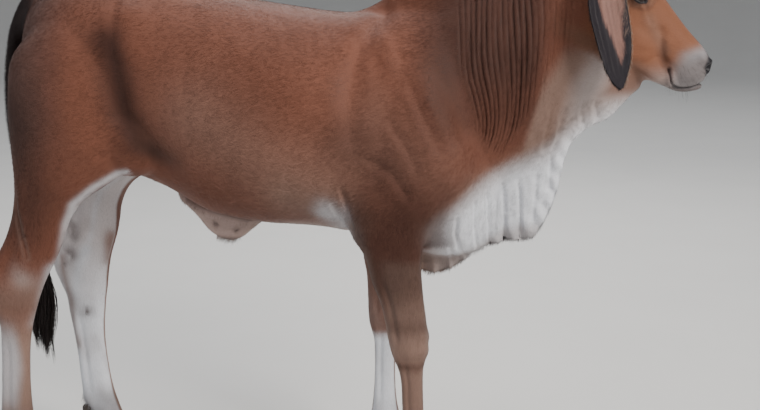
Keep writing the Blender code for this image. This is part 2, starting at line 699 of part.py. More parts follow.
def build_flesh():
    """The flesh in its named pieces. The head is melted on its own, finer, along with the neck's end."""
    body = joined("torso", [flesh()] + skull())
    melted(body, BODY_VOXEL, BODY_SMOOTHING, BODY_TRIANGLES)
    head = joined("head", [loft("neck", neck_rings(NECK)), loft("dewlap", dewlap_rings())] + skull())
    melted(head, HEAD_VOXEL, HEAD_SMOOTHING, HEAD_TRIANGLES)
    nodes = {"torso": body}
    boolean(head, region("front", *HEAD_PLANE, FAR, grow=-GAP / 2), "INTERSECT")
    nodes["head"] = largest(head)
    boolean(body, region("front", *HEAD_PLANE, FAR, grow=GAP / 2), "DIFFERENCE")
    nodes["neck"] = part_off(body, "neck", half_space(*NECK_PLANE))
    nodes["dewlap"] = part_off(nodes["neck"], "dewlap", half_space(*DEWLAP_PLANE))
    nodes["hump"] = part_off(body, "hump", half_space(*HUMP_PLANE), half_space(*HUMP_START))
    behind = half_space(*SHEATH_START, SHEATH_SPACE)
    nodes["sheath"] = part_off(body, "sheath", half_space(*SHEATH_PLANE), behind)
    for word, side in SIDES:
        low, high = sorted((side * FORELEG_INSIDE, side * 1.0))
        above = half_space(*FORELEG_PLANE, FAR, low, high)
        fore = part_off(body, "foreleg_" + word, above, half_space(*FORELEG_START, FORELEG_SPACE))
        low, high = sorted((0.0, side * 1.0))
        above = half_space(*HINDLEG_PLANE, FAR, low, high)
        hind = part_off(body, "hindleg_" + word, above, half_space(*HINDLEG_START))
        for leg in (fore, hind):
            boolean(leg, region("foot", *LEG_END, FAR), "INTERSECT")
            nodes[leg.name] = largest(leg)
    return nodes


def sunk(node, name, rings_of):
    """A piece that sits in its node, with the socket cut for it a thin gap wider."""
    boolean(node, loft(name, rings_of(GAP)), "DIFFERENCE")
    return loft(name, rings_of(0.0))


def dewclaw(name, leg, side, share, grow=0.0):
    """One of the two small claws behind a fetlock; share is 0 inside and 1 outside."""
    back, middle = leg_back(leg, DEWCLAW_HEIGHT)
    sizes = [size + grow for size in DEWCLAW]
    centre = (back, side * (middle + (share - 0.5) * DEWCLAW_APART), DEWCLAW_HEIGHT)
    return ellipsoid(name, centre, sizes, DEWCLAW_PITCH, 10)


def leg_back(rows, height):
    """x of a leg's back and the distance of its middle from the middle plane at a height."""
    table = np.array(rows)[::-1]
    back = np.interp(height, table[:, 0], table[:, 2])
    middle = np.interp(height, table[:, 0], (table[:, 3] + table[:, 4]) / 2)
    return back, middle


def shift_at(shift, height, side):
    """How far forward a leg's front and back stand at a height."""
    heights, front, back = zip(*sorted(shift))
    return (np.interp(height, heights, front), np.interp(height, heights, back)) if side > 0 else (0.0, 0.0)


def move_x(obj, distance):
    obj.data.transform(Matrix.Translation((distance, 0, 0)))
    return obj


def build_feet(nodes):
    """Two claws under each leg, and two dewclaws sunk into its back."""
    for end, rows, hoof, shift in (
        ("fore", FORELEG, FOREHOOF, FORELEG_SHIFT),
        ("hind", HINDLEG, HINDHOOF, HINDLEG_SHIFT),
    ):
        for word, side in SIDES:
            leg = nodes[f"{end}leg_{word}"]
            for share, place in enumerate(("inner", "outer")):
                name = f"{end}hoof_{word}_{place}"
                nodes[name] = move_x(claw(name, hoof, side, share), shift_at(shift, CORONET, side)[0])
                name = f"{end}dewclaw_{word}_{place}"
                ahead = shift_at(shift, DEWCLAW_HEIGHT, side)[1]
                boolean(leg, move_x(dewclaw(name, rows, side, share, GAP), ahead), "DIFFERENCE")
                nodes[name] = move_x(dewclaw(name, rows, side, share), ahead)
            nodes[leg.name] = largest(leg)


def build_head_details(nodes):
    """The mouth, nostrils and lids are cut into the head, and the eyes, ears and horns set in it."""
    head = nodes["head"]
    boolean(head, mouth_cutter(), "DIFFERENCE")
    for word, side in SIDES:
        boolean(head, in_head_ellipsoid("nostril", NOSTRIL_AT, NOSTRIL, side, 20, 16), "DIFFERENCE")
        ball = [EYE_RADIUS + GAP] * 3
        boolean(head, in_head_ellipsoid("socket", EYE_AT, ball, side, 0, 16), "DIFFERENCE")
        opening = (EYE_AT[0], EYE_AT[1] + EYE_OPENING_OUT, EYE_AT[2])
        boolean(head, in_head_ellipsoid("opening", opening, EYE_OPENING, side, EYE_SLANT, 16), "DIFFERENCE")
        name = "eye_" + word
        nodes[name] = in_head_ellipsoid(name, EYE_AT, [EYE_RADIUS] * 3, side, 0, 16)
        nodes["ear_" + word] = sunk(head, "ear_" + word, lambda grow: ear_rings(side, grow))
        horn = mirrored_path(HORN, side)
        nodes["horn_" + word] = sunk(head, "horn_" + word, lambda grow: path_rings(horn, grow))
    largest(head)


def lock_rings(index, draw):
    """A flat, tapered lock that leaves the core, bulges out and bends back to a fine tip."""
    turn = index * LOCK_TURN
    root = LOCK_TOP - LOCK_ROOTS * index / (LOCKS - 1)
    length = (root - LOCK_TIP) * (draw.uniform(*LOCK_LENGTH) if index else 1.0)
    bulge = draw.uniform(*LOCK_BULGE)
    sway = np.array([draw.uniform(-LOCK_SWAY, LOCK_SWAY), draw.uniform(-LOCK_SWAY, LOCK_SWAY), 0.0])
    if index == 0:
        sway[0] = LOCK_TIP_X
    out = np.array([math.cos(turn), math.sin(turn), 0.0])
    across = np.array([-out[1], out[0], 0.0])
    top = np.array(SWITCH_CORE[0][:3])
    end = np.array(SWITCH_CORE[-1][:3])
    rings = []
    for t in np.linspace(0, 1, LOCK_RINGS):
        core = top + (end - top) * t
        core[2] = root - length * t
        spread = 0.004 + (bulge if index else 0.0) * math.sin(0.8 * math.pi * t**0.9)
        at = core + out * spread + sway * t**2
        width = LOCK_WIDTH * math.sin(math.pi * (0.16 + 0.80 * t)) ** 0.7 * (1 - 0.45 * t)
        thick = LOCK_THICK * (1 - 0.7 * t)
        rings.append(np.array([at - across * width, at + out * thick, at + across * width, at - out * thick]))
    return rings


def fused(name, pieces):
    """The first piece joined with the rest by one union."""
    base, rest = pieces[0], pieces[1:]
    group = bpy.data.collections.new(name)
    bpy.context.scene.collection.children.link(group)
    for piece in rest:
        bpy.context.scene.collection.objects.unlink(piece)
        group.objects.link(piece)
    join = base.modifiers.new("join", "BOOLEAN")
    join.operation = "UNION"
    join.operand_type = "COLLECTION"
    join.collection = group
    join.solver = "MANIFOLD"
    applied(base)
    for piece in rest:
        bpy.data.objects.remove(piece)
    bpy.data.collections.remove(group)
    base.name = name
    return largest(base)


def build_tail(nodes):
    """The tail sunk into the rump, and under it the switch of locks fused round a short core."""
    torso = nodes["torso"]
    tail = sunk(torso, "tail", lambda grow: path_rings(TAIL, grow))
    boolean(tail, region("space", (0, TAIL_END + GAP), -90, FAR), "INTERSECT")
    nodes["tail"] = largest(tail)
    draw = random.Random(LOCK_SEED)
    locks = [loft("lock", lock_rings(index, draw)) for index in range(LOCKS)]
    switch = fused("tail_switch", [loft("core", path_rings(SWITCH_CORE, 0, 8))] + locks)
    boolean(switch, region("space", (0, TAIL_END), 90, FAR), "INTERSECT")
    nodes["tail_switch"] = largest(switch)
    largest(torso)


# Looks: the first word of a node's name, its colour and its roughness
LOOKS = {
    "hump": ((0.30, 0.105, 0.050), 0.80),
    "torso": ((0.27, 0.100, 0.050), 0.80),
    "neck": ((0.24, 0.085, 0.045), 0.80),
    "head": ((0.36, 0.150, 0.075), 0.78),
    "dewlap": ((0.62, 0.520, 0.470), 0.80),
    "sheath": ((0.52, 0.350, 0.270), 0.75),
    "foreleg": ((0.27, 0.100, 0.055), 0.80),
    "hindleg": ((0.45, 0.280, 0.210), 0.80),
    "ear": ((0.035, 0.030, 0.035), 0.75),
    "eye": ((0.012, 0.008, 0.006), 0.15),
    "horn": ((0.16, 0.130, 0.100), 0.50),
    "forehoof": ((0.045, 0.038, 0.034), 0.50),
    "hindhoof": ((0.045, 0.038, 0.034), 0.50),
    "foredewclaw": ((0.050, 0.042, 0.038), 0.50),
    "hinddewclaw": ((0.050, 0.042, 0.038), 0.50),
    "tail": ((0.060, 0.038, 0.030), 0.80),
    "switch": ((0.010, 0.008, 0.008), 0.60),
}


def look_of(name):
    """The material that a node's name asks for."""
    word = "switch" if name.endswith("switch") else name.split("_")[0]
    colour, roughness = LOOKS[word]
    material = bpy.data.materials.get(word) or bpy.data.materials.new(word)
    material.use_nodes = True
    shader = material.node_tree.nodes["Principled BSDF"]
    shader.inputs["Base Color"].default_value = (*colour, 1)
    shader.inputs["Roughness"].default_value = roughness
    shader.inputs["Metallic"].default_value = 0.0
    return material


def clear_scene():
    for obj in list(bpy.data.objects):
        bpy.data.objects.remove(obj, do_unlink=True)


def build():
    """Makes every node and puts it in the animal's own collection."""
    clear_scene()
    nodes = build_flesh()
    build_feet(nodes)
    build_head_details(nodes)
    build_tail(nodes)
    herd = bpy.data.collections.new("brahman_cattle")
    bpy.context.scene.collection.children.link(herd)
    for name, obj in nodes.items():
        obj.name = name
        obj.data.name = name
        obj.data.transform(Matrix.Translation((ORIGIN_SHIFT_X, 0, 0)))
        obj.data.materials.clear()
        obj.data.materials.append(look_of(name))
        obj.data.shade_smooth()
        obj.data.set_sharp_from_angle(angle=math.radians(50))
        for old in list(obj.users_collection):
            old.objects.unlink(obj)
        herd.objects.link(obj)


build()
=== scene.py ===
"""Brahman cattle, a still museum model of a young animal, dressed over its solid frame.

The hide is one skin. It is lofted from sections in numpy, melted into one surface, creased and folded
point by point, and thinned to its final mesh. Eyes, horns, hooves, the switch of the tail and the coat's
tufts are pieces of their own. Lengths are in metres, the animal faces +X and its left side is +Y.
"""

import math

import bmesh
import bpy
import numpy as np
from bpy.props import FloatProperty, FloatVectorProperty, IntProperty, PointerProperty
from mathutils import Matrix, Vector


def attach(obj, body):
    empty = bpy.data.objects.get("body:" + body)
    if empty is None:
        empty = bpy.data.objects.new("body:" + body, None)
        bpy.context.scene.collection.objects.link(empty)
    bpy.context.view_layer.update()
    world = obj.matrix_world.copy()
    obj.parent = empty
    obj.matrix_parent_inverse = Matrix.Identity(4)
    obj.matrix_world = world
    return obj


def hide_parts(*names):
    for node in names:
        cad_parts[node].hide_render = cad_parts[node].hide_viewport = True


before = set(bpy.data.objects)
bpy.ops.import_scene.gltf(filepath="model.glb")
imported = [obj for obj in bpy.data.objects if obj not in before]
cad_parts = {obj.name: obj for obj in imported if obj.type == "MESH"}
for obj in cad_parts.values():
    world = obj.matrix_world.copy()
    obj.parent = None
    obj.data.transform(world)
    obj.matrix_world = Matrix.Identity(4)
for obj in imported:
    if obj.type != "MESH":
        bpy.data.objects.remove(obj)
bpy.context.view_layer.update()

bl_info = {
    "name": "Brahman cattle model",
    "version": (1, 0, 0),
    "blender": (4, 5, 0),
    "location": "3D View > Sidebar > Cattle",
    "description": "Skin, coat, eyes, horns and hooves of a life-size brahman, with its studio",
    "category": "Object",
}

BODY = "root"
SHIFT = 0.0988  # from the frame of the sections below to the frame of the finished object, along X
SIDES = (("right", -1), ("left", 1))
SOFT, ROUND, FULL, SQUARE = 2.1, 1.9, 2.3, 2.5  # how square a section is; 2 is an ellipse

# Sections of the trunk, hump and sheath: x, top, bottom, half width, height of the widest place
TRUNK = (
    (-0.9, 1.165, 0.9, 0.065, 1.03), (-0.87, 1.222, 0.86, 0.11, 1.05), (-0.8, 1.262, 0.82, 0.16, 1.08),
    (-0.7, 1.286, 0.79, 0.194, 1.12), (-0.61, 1.288, 0.785, 0.205, 1.12), (-0.52, 1.273, 0.75, 0.215, 1.05),
    (-0.42, 1.254, 0.698, 0.236, 1.0), (-0.3, 1.232, 0.676, 0.252, 0.97), (-0.18, 1.214, 0.672, 0.252, 0.95),
    (-0.08, 1.205, 0.66, 0.236, 0.94), (0.0, 1.212, 0.64, 0.215, 0.93), (0.08, 1.235, 0.615, 0.2, 0.91),
    (0.16, 1.235, 0.6, 0.185, 0.9), (0.24, 1.19, 0.61, 0.15, 0.88), (0.3, 1.12, 0.66, 0.09, 0.87),
)
HUMP = (
    (-0.06, 1.205, 1.15, 0.03, 1.18), (0.0, 1.232, 1.12, 0.055, 1.17), (0.05, 1.27, 1.1, 0.072, 1.18),
    (0.1, 1.318, 1.08, 0.082, 1.19), (0.15, 1.345, 1.08, 0.084, 1.2), (0.2, 1.342, 1.08, 0.078, 1.2),
    (0.25, 1.318, 1.1, 0.066, 1.2), (0.31, 1.295, 1.14, 0.05, 1.21),
)
SHEATH = (
    (-0.52, 0.76, 0.725, 0.02, 0.745), (-0.48, 0.75, 0.69, 0.026, 0.715), (-0.44, 0.74, 0.642, 0.027, 0.68),
    (-0.4, 0.74, 0.622, 0.026, 0.66), (-0.36, 0.73, 0.624, 0.024, 0.66), (-0.32, 0.73, 0.655, 0.02, 0.69),
    (-0.285, 0.72, 0.68, 0.014, 0.7),
)
# Neck: x and z of its axis, upwards, downwards, half width
NECK = (
    (0.08, 0.95, 0.26, 0.3, 0.16), (0.22, 1.02, 0.25, 0.25, 0.15), (0.34, 1.09, 0.215, 0.21, 0.124),
    (0.44, 1.155, 0.185, 0.19, 0.104), (0.53, 1.215, 0.17, 0.17, 0.092), (0.6, 1.262, 0.13, 0.12, 0.07),
)
NECK_SLOPE = math.radians(31)
# Dewlap: outer edge x, z, then inner edge x, z, from between the forelegs up to the throat
DEWLAP = (
    (0.02, 0.59, 0.02, 0.72), (0.08, 0.56, 0.08, 0.74), (0.14, 0.548, 0.12, 0.76), (0.19, 0.566, 0.16, 0.78),
    (0.253, 0.612, 0.2, 0.8), (0.32, 0.636, 0.24, 0.83), (0.385, 0.645, 0.27, 0.86), (0.423, 0.7, 0.3, 0.88),
    (0.447, 0.765, 0.33, 0.91), (0.458, 0.83, 0.37, 0.95), (0.472, 0.88, 0.41, 0.99), (0.515, 0.925, 0.46, 1.03),
    (0.56, 0.945, 0.51, 1.07), (0.6, 0.99, 0.55, 1.1), (0.64, 1.028, 0.6, 1.12),
)
DEWLAP_FOLD, DEWLAP_PITCH = 0.009, 0.046  # sideways swing of a fold at the hem, and from one to the next
DEWLAP_ROOT, DEWLAP_HEM = 0.058, 0.0095  # half thickness
DEWLAP_LOOSE = ((0.05, 0.14, 0.45, 0.53, 0.64), (0.3, 1.0, 1.0, 0.3, 0.15))
# Legs: height, front, back, outer and inner distance from the middle plane
FORELEG = (
    (1.13, 0.15, 0.01, 0.155, 0.06), (1.02, 0.195, -0.02, 0.198, 0.06), (0.92, 0.222, -0.045, 0.214, 0.06),
    (0.82, 0.215, -0.07, 0.212, 0.06), (0.74, 0.175, -0.07, 0.205, 0.065), (0.68, 0.135, -0.058, 0.195, 0.075),
    (0.62, 0.121, -0.022, 0.184, 0.084), (0.56, 0.122, -0.006, 0.176, 0.09), (0.51, 0.126, 0.014, 0.169, 0.093),
    (0.46, 0.132, 0.025, 0.165, 0.091), (0.41, 0.137, 0.034, 0.166, 0.086), (0.375, 0.135, 0.043, 0.165, 0.086),
    (0.34, 0.127, 0.058, 0.159, 0.093), (0.3, 0.126, 0.066, 0.155, 0.1), (0.22, 0.128, 0.068, 0.153, 0.102),
    (0.16, 0.135, 0.066, 0.158, 0.098), (0.125, 0.143, 0.064, 0.163, 0.093), (0.09, 0.15, 0.076, 0.16, 0.096),
    (0.06, 0.16, 0.074, 0.168, 0.088), (0.03, 0.162, 0.072, 0.166, 0.09),
)
HINDLEG = (
    (1.19, -0.64, -0.82, 0.14, 0.03), (1.1, -0.59, -0.89, 0.202, 0.03), (1.0, -0.565, -0.906, 0.214, 0.03),
    (0.9, -0.57, -0.908, 0.214, 0.018), (0.84, -0.592, -0.908, 0.206, 0.02), (0.79, -0.65, -0.906, 0.196, 0.03),
    (0.74, -0.726, -0.908, 0.186, 0.048), (0.69, -0.764, -0.918, 0.178, 0.062),
    (0.64, -0.782, -0.938, 0.172, 0.074), (0.59, -0.802, -0.966, 0.168, 0.084),
    (0.545, -0.826, -0.988, 0.166, 0.09), (0.505, -0.845, -0.994, 0.166, 0.09),
    (0.46, -0.862, -0.978, 0.165, 0.093), (0.415, -0.875, -0.963, 0.16, 0.098),
    (0.35, -0.884, -0.964, 0.156, 0.102), (0.24, -0.888, -0.969, 0.155, 0.104),
    (0.165, -0.885, -0.975, 0.16, 0.099), (0.125, -0.876, -0.974, 0.164, 0.094),
    (0.09, -0.864, -0.95, 0.161, 0.097), (0.06, -0.85, -0.944, 0.168, 0.089), (0.03, -0.848, -0.944, 0.166, 0.091),
)
# How far forward the left legs stand of the right ones: height, then at the front and at the back
FORELEG_SHIFT = (
    (1.2, 0.0, 0.0), (0.9, -0.005, -0.005), (0.68, -0.035, -0.035), (0.49, -0.07, -0.07), (0.3, -0.098, -0.098),
    (0.0, -0.108, -0.108),
)
HINDLEG_SHIFT = (
    (1.2, 0.0, 0.0), (0.9, 0.01, 0.01), (0.74, 0.045, 0.045), (0.637, 0.063, 0.066), (0.577, 0.073, 0.073),
    (0.511, 0.088, 0.079), (0.445, 0.102, 0.078), (0.389, 0.107, 0.082), (0.351, 0.108, 0.091), (0.303, 0.11, 0.1),
    (0.255, 0.115, 0.108), (0.207, 0.12, 0.114), (0.158, 0.124, 0.123), (0.0, 0.13, 0.13),
)
# Muscle and bone that show under the skin: centre, half sizes, pitch in degrees about Y
MASSES = (
    ((0.062, 0.105, 0.99), (0.085, 0.09, 0.19), -18),  # shoulder blade
    ((0.15, 0.118, 0.855), (0.1, 0.092, 0.12), 20),  # point of the shoulder
    ((0.03, 0.12, 0.77), (0.13, 0.09, 0.09), -25),  # upper arm
    ((-0.59, 0.105, 1.175), (0.1, 0.088, 0.07), 8),  # hook bone
    ((-0.73, 0.118, 1.0), (0.165, 0.104, 0.21), 12),  # thigh
    ((-0.855, 0.055, 1.05), (0.055, 0.05, 0.08), 0),  # pin bone
    ((-0.6, 0.11, 0.9), (0.1, 0.092, 0.1), 35),  # flank and stifle
)
# Head: its frame starts at the middle of the skull and runs to the muzzle, pitched down
HEAD_AT = (0.53, 1.3)
HEAD_PITCH = math.radians(32)
TO_MUZZLE = np.array([math.cos(HEAD_PITCH), 0.0, -math.sin(HEAD_PITCH)])
# along the head, top, bottom, half width at the top, half width at the bottom
SKULL = (
    (-0.08, 0.04, -0.09, 0.045, 0.04), (-0.045, 0.086, -0.12, 0.074, 0.058), (0.0, 0.081, -0.15, 0.09, 0.07),
    (0.05, 0.067, -0.16, 0.097, 0.07), (0.1, 0.05, -0.158, 0.09, 0.066), (0.15, 0.033, -0.146, 0.071, 0.058),
    (0.2, 0.014, -0.12, 0.056, 0.052), (0.245, -0.002, -0.112, 0.047, 0.051), (0.285, -0.013, -0.13, 0.044, 0.052),
    (0.31, -0.021, -0.124, 0.043, 0.05), (0.33, -0.032, -0.108, 0.036, 0.044),
    (0.344, -0.052, -0.084, 0.018, 0.026),
)
JAW = (
    (0.0, -0.06, -0.16, 0.058, 0.048), (0.06, -0.07, -0.178, 0.064, 0.044), (0.12, -0.08, -0.182, 0.062, 0.036),
    (0.18, -0.085, -0.172, 0.052, 0.031), (0.23, -0.09, -0.157, 0.044, 0.029),
    (0.265, -0.095, -0.149, 0.042, 0.028), (0.29, -0.098, -0.144, 0.04, 0.028),
    (0.315, -0.096, -0.136, 0.036, 0.027), (0.336, -0.092, -0.121, 0.03, 0.022),
    (0.349, -0.092, -0.108, 0.018, 0.014),
)
# Swellings of the head in its own frame: centre and half sizes along, sideways and up
SWELLINGS = (
    ((0.118, 0.04, -0.098), (0.096, 0.034, 0.066)),  # cheek
    ((0.098, 0.058, 0.0), (0.045, 0.039, 0.035)),  # lids
    ((0.078, 0.054, 0.018), (0.066, 0.034, 0.028)),  # brow
    ((0.17, 0.037, -0.052), (0.085, 0.021, 0.017)),  # facial crest
    ((0.225, 0.034, -0.122), (0.07, 0.018, 0.03)),  # side of the mouth
    ((0.306, 0.026, -0.044), (0.034, 0.02, 0.018)),  # nostril
)
EYE_AT = (0.098, 0.0735, 0.001)  # along, sideways, up, in the head's frame
LID_REACH = 0.0205  # half length of the gap between the lids
LID_UPPER, LID_LOWER = 0.0132, 0.0108  # how high and how low the gap opens
LID_SLANT = math.radians(12)  # how far the front corner lies lower
NOSTRIL_AT, NOSTRIL = (0.335, 0.029, -0.05), (0.016, 0.0095, 0.0115)
BROW_AT, BROW, BROW_DEPTH = (0.078, 0.07, 0.04), (0.036, 0.026, 0.018), 0.006
MOUTH_LINE = (
    (0.258, -0.104), (0.268, -0.115), (0.283, -0.129), (0.3, -0.13), (0.318, -0.12), (0.333, -0.106),
    (0.345, -0.09), (0.36, -0.078),
)
FURROW = ((0.19, -0.04), (0.208, -0.065), (0.226, -0.086), (0.244, -0.099), (0.257, -0.106))
FACE_FOLDS = (  # points along and up, depth, width
    (FURROW, 0.005, 0.01),
    (((0.16, -0.112), (0.2, -0.092), (0.232, -0.074)), 0.0016, 0.009),  # cheek
    (((0.06, -0.13), (0.13, -0.142), (0.2, -0.13)), 0.0012, 0.012),  # jaw
    (((0.118, -0.03), (0.16, -0.06), (0.2, -0.078)), 0.002, 0.012),  # below the eye
    (((0.119, -0.008), (0.14, -0.022), (0.158, -0.036)), 0.0014, 0.0055),  # tear
)
# Ear: x, y, z of its middle line, half width, half thickness, cup as a share of the half width
EAR = (
    (0.548, 0.06, 1.3, 0.02, 0.013, 0.0), (0.54, 0.088, 1.3, 0.025, 0.01, 0.35),
    (0.531, 0.112, 1.285, 0.036, 0.006, 0.45), (0.527, 0.128, 1.255, 0.047, 0.0042, 0.44),
    (0.531, 0.137, 1.215, 0.051, 0.0038, 0.4), (0.543, 0.141, 1.165, 0.049, 0.0034, 0.38),
    (0.555, 0.141, 1.12, 0.043, 0.003, 0.34), (0.565, 0.138, 1.08, 0.032, 0.0026, 0.28),
    (0.573, 0.134, 1.055, 0.019, 0.0022, 0.2), (0.579, 0.131, 1.038, 0.005, 0.0016, 0.0),
)
EAR_FACING = (0.5, 0.85, 0.3)  # the way the cup opens, for the left ear
# Horn, tail and the middle of the switch: x, y, z, radius
HORN = (
    (0.54, 0.03, 1.368, 0.019), (0.528, 0.06, 1.38, 0.019), (0.518, 0.08, 1.39, 0.0165),
    (0.511, 0.095, 1.405, 0.0125), (0.508, 0.103, 1.422, 0.008), (0.509, 0.106, 1.433, 0.0035),
)
TAIL = (
    (-0.79, 0.0, 1.222, 0.028), (-0.84, 0.0, 1.24, 0.029), (-0.883, 0.0, 1.222, 0.027), (-0.911, 0.0, 1.18, 0.025),
    (-0.93, 0.0, 1.13, 0.0225), (-0.946, 0.0, 1.05, 0.019), (-0.95, 0.0, 0.95, 0.017),
    (-0.941, 0.004, 0.82, 0.0155), (-0.922, 0.008, 0.69, 0.014), (-0.908, 0.008, 0.6, 0.013),
    (-0.905, 0.007, 0.56, 0.011),
)
SWITCH_TOP, SWITCH_END = (-0.905, 0.006, 0.59), (-0.91, 0.0, 0.4)
SWITCH_TIP, SWITCH_TIP_X = 0.259, 0.026  # height of the lowest tip, and how far it swings forward
# Longer hair by place: length, width, lift, droop, spread
FRINGE = {
    "ear edge": (0.0105, 0.00042, 0.05, 0.1, 0.14),
    "ear cup": (0.017, 0.0002, 0.05, 0.0, 0.22),
    "poll": (0.016, 0.0005, 0.28, 0.1, 0.18),
    "coronet": (0.013, 0.00055, 0.1, 0.0, 0.1),
    "fetlock": (0.014, 0.00045, 0.12, 0.2, 0.18),
    "sheath": (0.014, 0.00035, 0.15, 0.0, 0.3),
    "hem": (0.012, 0.00045, 0.12, 0.0, 0.2),
}
SHEATH_TIP, EAR_ROOT = (-0.392, 0.0, 0.628), (0.537, 0.092, 1.298)
LOCKS, GOLDEN_ANGLE = 46, 2.39996  # of the switch, and the turn from one lock to the next
# Hooves: the height of the coronet, then front, back, outer and inner edge at the ground
CORONET, CLAW_SPLIT = 0.05, 0.006
FOREHOOF = (0.188, 0.078, 0.174, 0.084)
HINDHOOF = (-0.82, -0.938, 0.174, 0.086)
TOE_SLOPE, HEEL_SLOPE = 0.75, 0.05
TOE_NARROW, TOE_TURN = 0.3, 0.01
DEWCLAW, DEWCLAW_HEIGHT, DEWCLAW_APART = (0.013, 0.01, 0.016), 0.104, 0.04

# Creases of the hide, on both sides: points x, z, half width, depth (negative stands out)
CREASES = (
    (((-0.625, 1.14), (-0.606, 1.063), (-0.597, 0.972), (-0.561, 0.897), (-0.5, 0.843)), 0.03, 0.0085),
    (((-0.614, 1.237), (-0.612, 1.158), (-0.621, 1.077)), 0.016, 0.0035),
    (((-0.892, 0.76), (-0.886, 0.715), (-0.878, 0.671), (-0.866, 0.601)), 0.0075, 0.0035),
    (((-0.865, 0.8), (-0.873, 0.72), (-0.866, 0.65)), 0.014, -0.003),
    (((-0.659, 0.872), (-0.65, 0.86)), 0.016, 0.004),
    (((-0.066, 0.8), (-0.054, 0.727), (-0.05, 0.67)), 0.008, 0.0065),
    (((-0.092, 0.76), (-0.078, 0.7), (-0.072, 0.66)), 0.007, 0.0035),
    (((0.043, 1.23), (-0.03, 1.149), (-0.046, 1.01), (-0.04, 0.88)), 0.024, 0.0068),
    (((-0.02, 0.88), (0.05, 0.84), (0.1, 0.77)), 0.014, 0.003),
    (((0.09, 1.06), (0.11, 1.011), (0.145, 0.937), (0.17, 0.88)), 0.017, 0.0032),
    (((0.045, 0.97), (0.059, 0.94), (0.099, 0.88), (0.115, 0.83)), 0.015, 0.0025),
    (((0.462, 0.989), (0.448, 0.958), (0.439, 0.905), (0.424, 0.862), (0.421, 0.777)), 0.008, 0.0075),
    (((0.43, 1.03), (0.415, 0.95), (0.4, 0.86)), 0.009, 0.0035),
    (((0.5, 1.02), (0.492, 0.97), (0.498, 0.93)), 0.008, 0.004),
    (((0.535, 1.04), (0.525, 0.985), (0.532, 0.945)), 0.008, 0.0032),
    (((0.31, 0.79), (0.313, 0.7), (0.314, 0.632)), 0.0065, 0.0085),
    (((0.347, 0.8), (0.35, 0.73), (0.353, 0.65)), 0.006, 0.008),
    (((0.275, 0.79), (0.277, 0.72), (0.279, 0.63)), 0.0055, 0.007),
    (((0.246, 0.77), (0.244, 0.7), (0.248, 0.625)), 0.0045, 0.0035),
    (((0.205, 0.73), (0.198, 0.68), (0.206, 0.63), (0.226, 0.59)), 0.005, 0.006),
    (((0.182, 0.64), (0.184, 0.61), (0.188, 0.575)), 0.005, 0.005),
    (((0.39, 0.82), (0.386, 0.74), (0.38, 0.66)), 0.0065, 0.0045),
    (((-0.56, 0.8), (-0.5, 0.736), (-0.411, 0.7), (-0.3, 0.676)), 0.008, 0.005),
)
# Neck wrinkles: height, then the x of the first and of the last of them
WRINKLES = (
    (0.86, 0.222, 0.338), (0.893, 0.236, 0.358), (0.937, 0.244, 0.38), (0.998, 0.232, 0.392), (1.074, 0.21, 0.396),
    (1.139, 0.202, 0.396), (1.239, 0.194, 0.392), (1.3, 0.2, 0.386),
)
WRINKLE_END = (
    (0.195, 0.222, 0.241, 0.256, 0.27, 0.286, 0.303, 0.33, 0.352, 0.369, 0.4, 0.43, 0.48),
    (1.08, 1.01, 0.952, 0.917, 0.893, 0.868, 0.868, 0.898, 0.94, 0.98, 1.005, 1.03, 1.06),
)

# Where colours change: places, then the value at each
THROAT_EDGE = (  # height of the tan throat's upper edge, by x
    (0.1, 0.188, 0.229, 0.291, 0.351, 0.375, 0.398, 0.447, 0.52),
    (0.7, 0.758, 0.812, 0.855, 0.898, 0.966, 1.055, 1.12, 1.15),
)
THROAT_FRONT = ((0.84, 0.92, 0.98, 1.04, 1.1), (0.42, 0.43, 0.44, 0.455, 0.5))  # x of its paler front, by height
WHITE_EDGE = ((0.1, 0.19, 0.25, 0.33, 0.42, 0.5, 0.6), (0.66, 0.735, 0.79, 0.85, 0.88, 0.93, 0.98))
HEM = ((0.02, 0.14, 0.19, 0.25, 0.32, 0.4), (0.6, 0.59, 0.59, 0.625, 0.65, 0.66))
BELLY_EDGE = ((-0.6, -0.45, -0.3, -0.1, 0.02, 0.1), (0.8, 0.715, 0.69, 0.7, 0.69, 0.66))
SHEATH_LINE = ((-0.52, -0.464, -0.411, -0.311, -0.24, -0.1), (0.728, 0.708, 0.692, 0.668, 0.66, 0.66))
SHEATH_SPOTS = ((0.418, 0.668, 0.007), (0.366, 0.652, 0.006))  # how far behind x = 0, height, half width
HIND_EDGE = (
    (-0.6, 0.822), (-0.624, 0.817), (-0.682, 0.784), (-0.743, 0.737), (-0.769, 0.685), (-0.79, 0.603),
    (-0.85, 0.48),
)
FORELEG_STRIP = ((-0.045, 0.7), (-0.02, 0.65), (0.0, 0.56), (0.02, 0.47), (0.046, 0.38))
DARK_PATCHES = (  # how far behind x = 0, height, stretch, half width, strength
    (0.816, 0.387, 1.2, 0.017, 1.0), (0.855, 0.545, 1.0, 0.026, 0.85), (0.84, 0.61, 0.5, 0.017, 0.7),
    (0.868, 0.52, 1.0, 0.007, 0.8),
)
MUZZLE_START = ((-0.14, -0.112, -0.09, -0.055, -0.03, -0.01), (0.268, 0.258, 0.246, 0.256, 0.276, 0.292))
NOSE_PLATE = ((-0.098, -0.08, -0.066, -0.05, -0.02), (0.01, 0.016, 0.031, 0.046, 0.046))  # half width, by height
EAR_STRIP = ((0.25, 0.5, 0.72, 0.8, 1.0), (0.34, 0.24, 0.09, 0.0, 0.0))  # half width, by place along the ear

FLESH = ["torso", "hump", "neck", "head", "dewlap", "sheath", "tail"]
FLESH += [part + "_" + word for part in ("foreleg", "hindleg", "ear") for word, _ in SIDES]


def metres(name, description, default):
    """A length in metres."""
    return FloatProperty(name=name, description=description, default=default, precision=5, unit="LENGTH")


def whole(name, description, default):
    """A whole number."""
    return IntProperty(name=name, description=description, default=default)


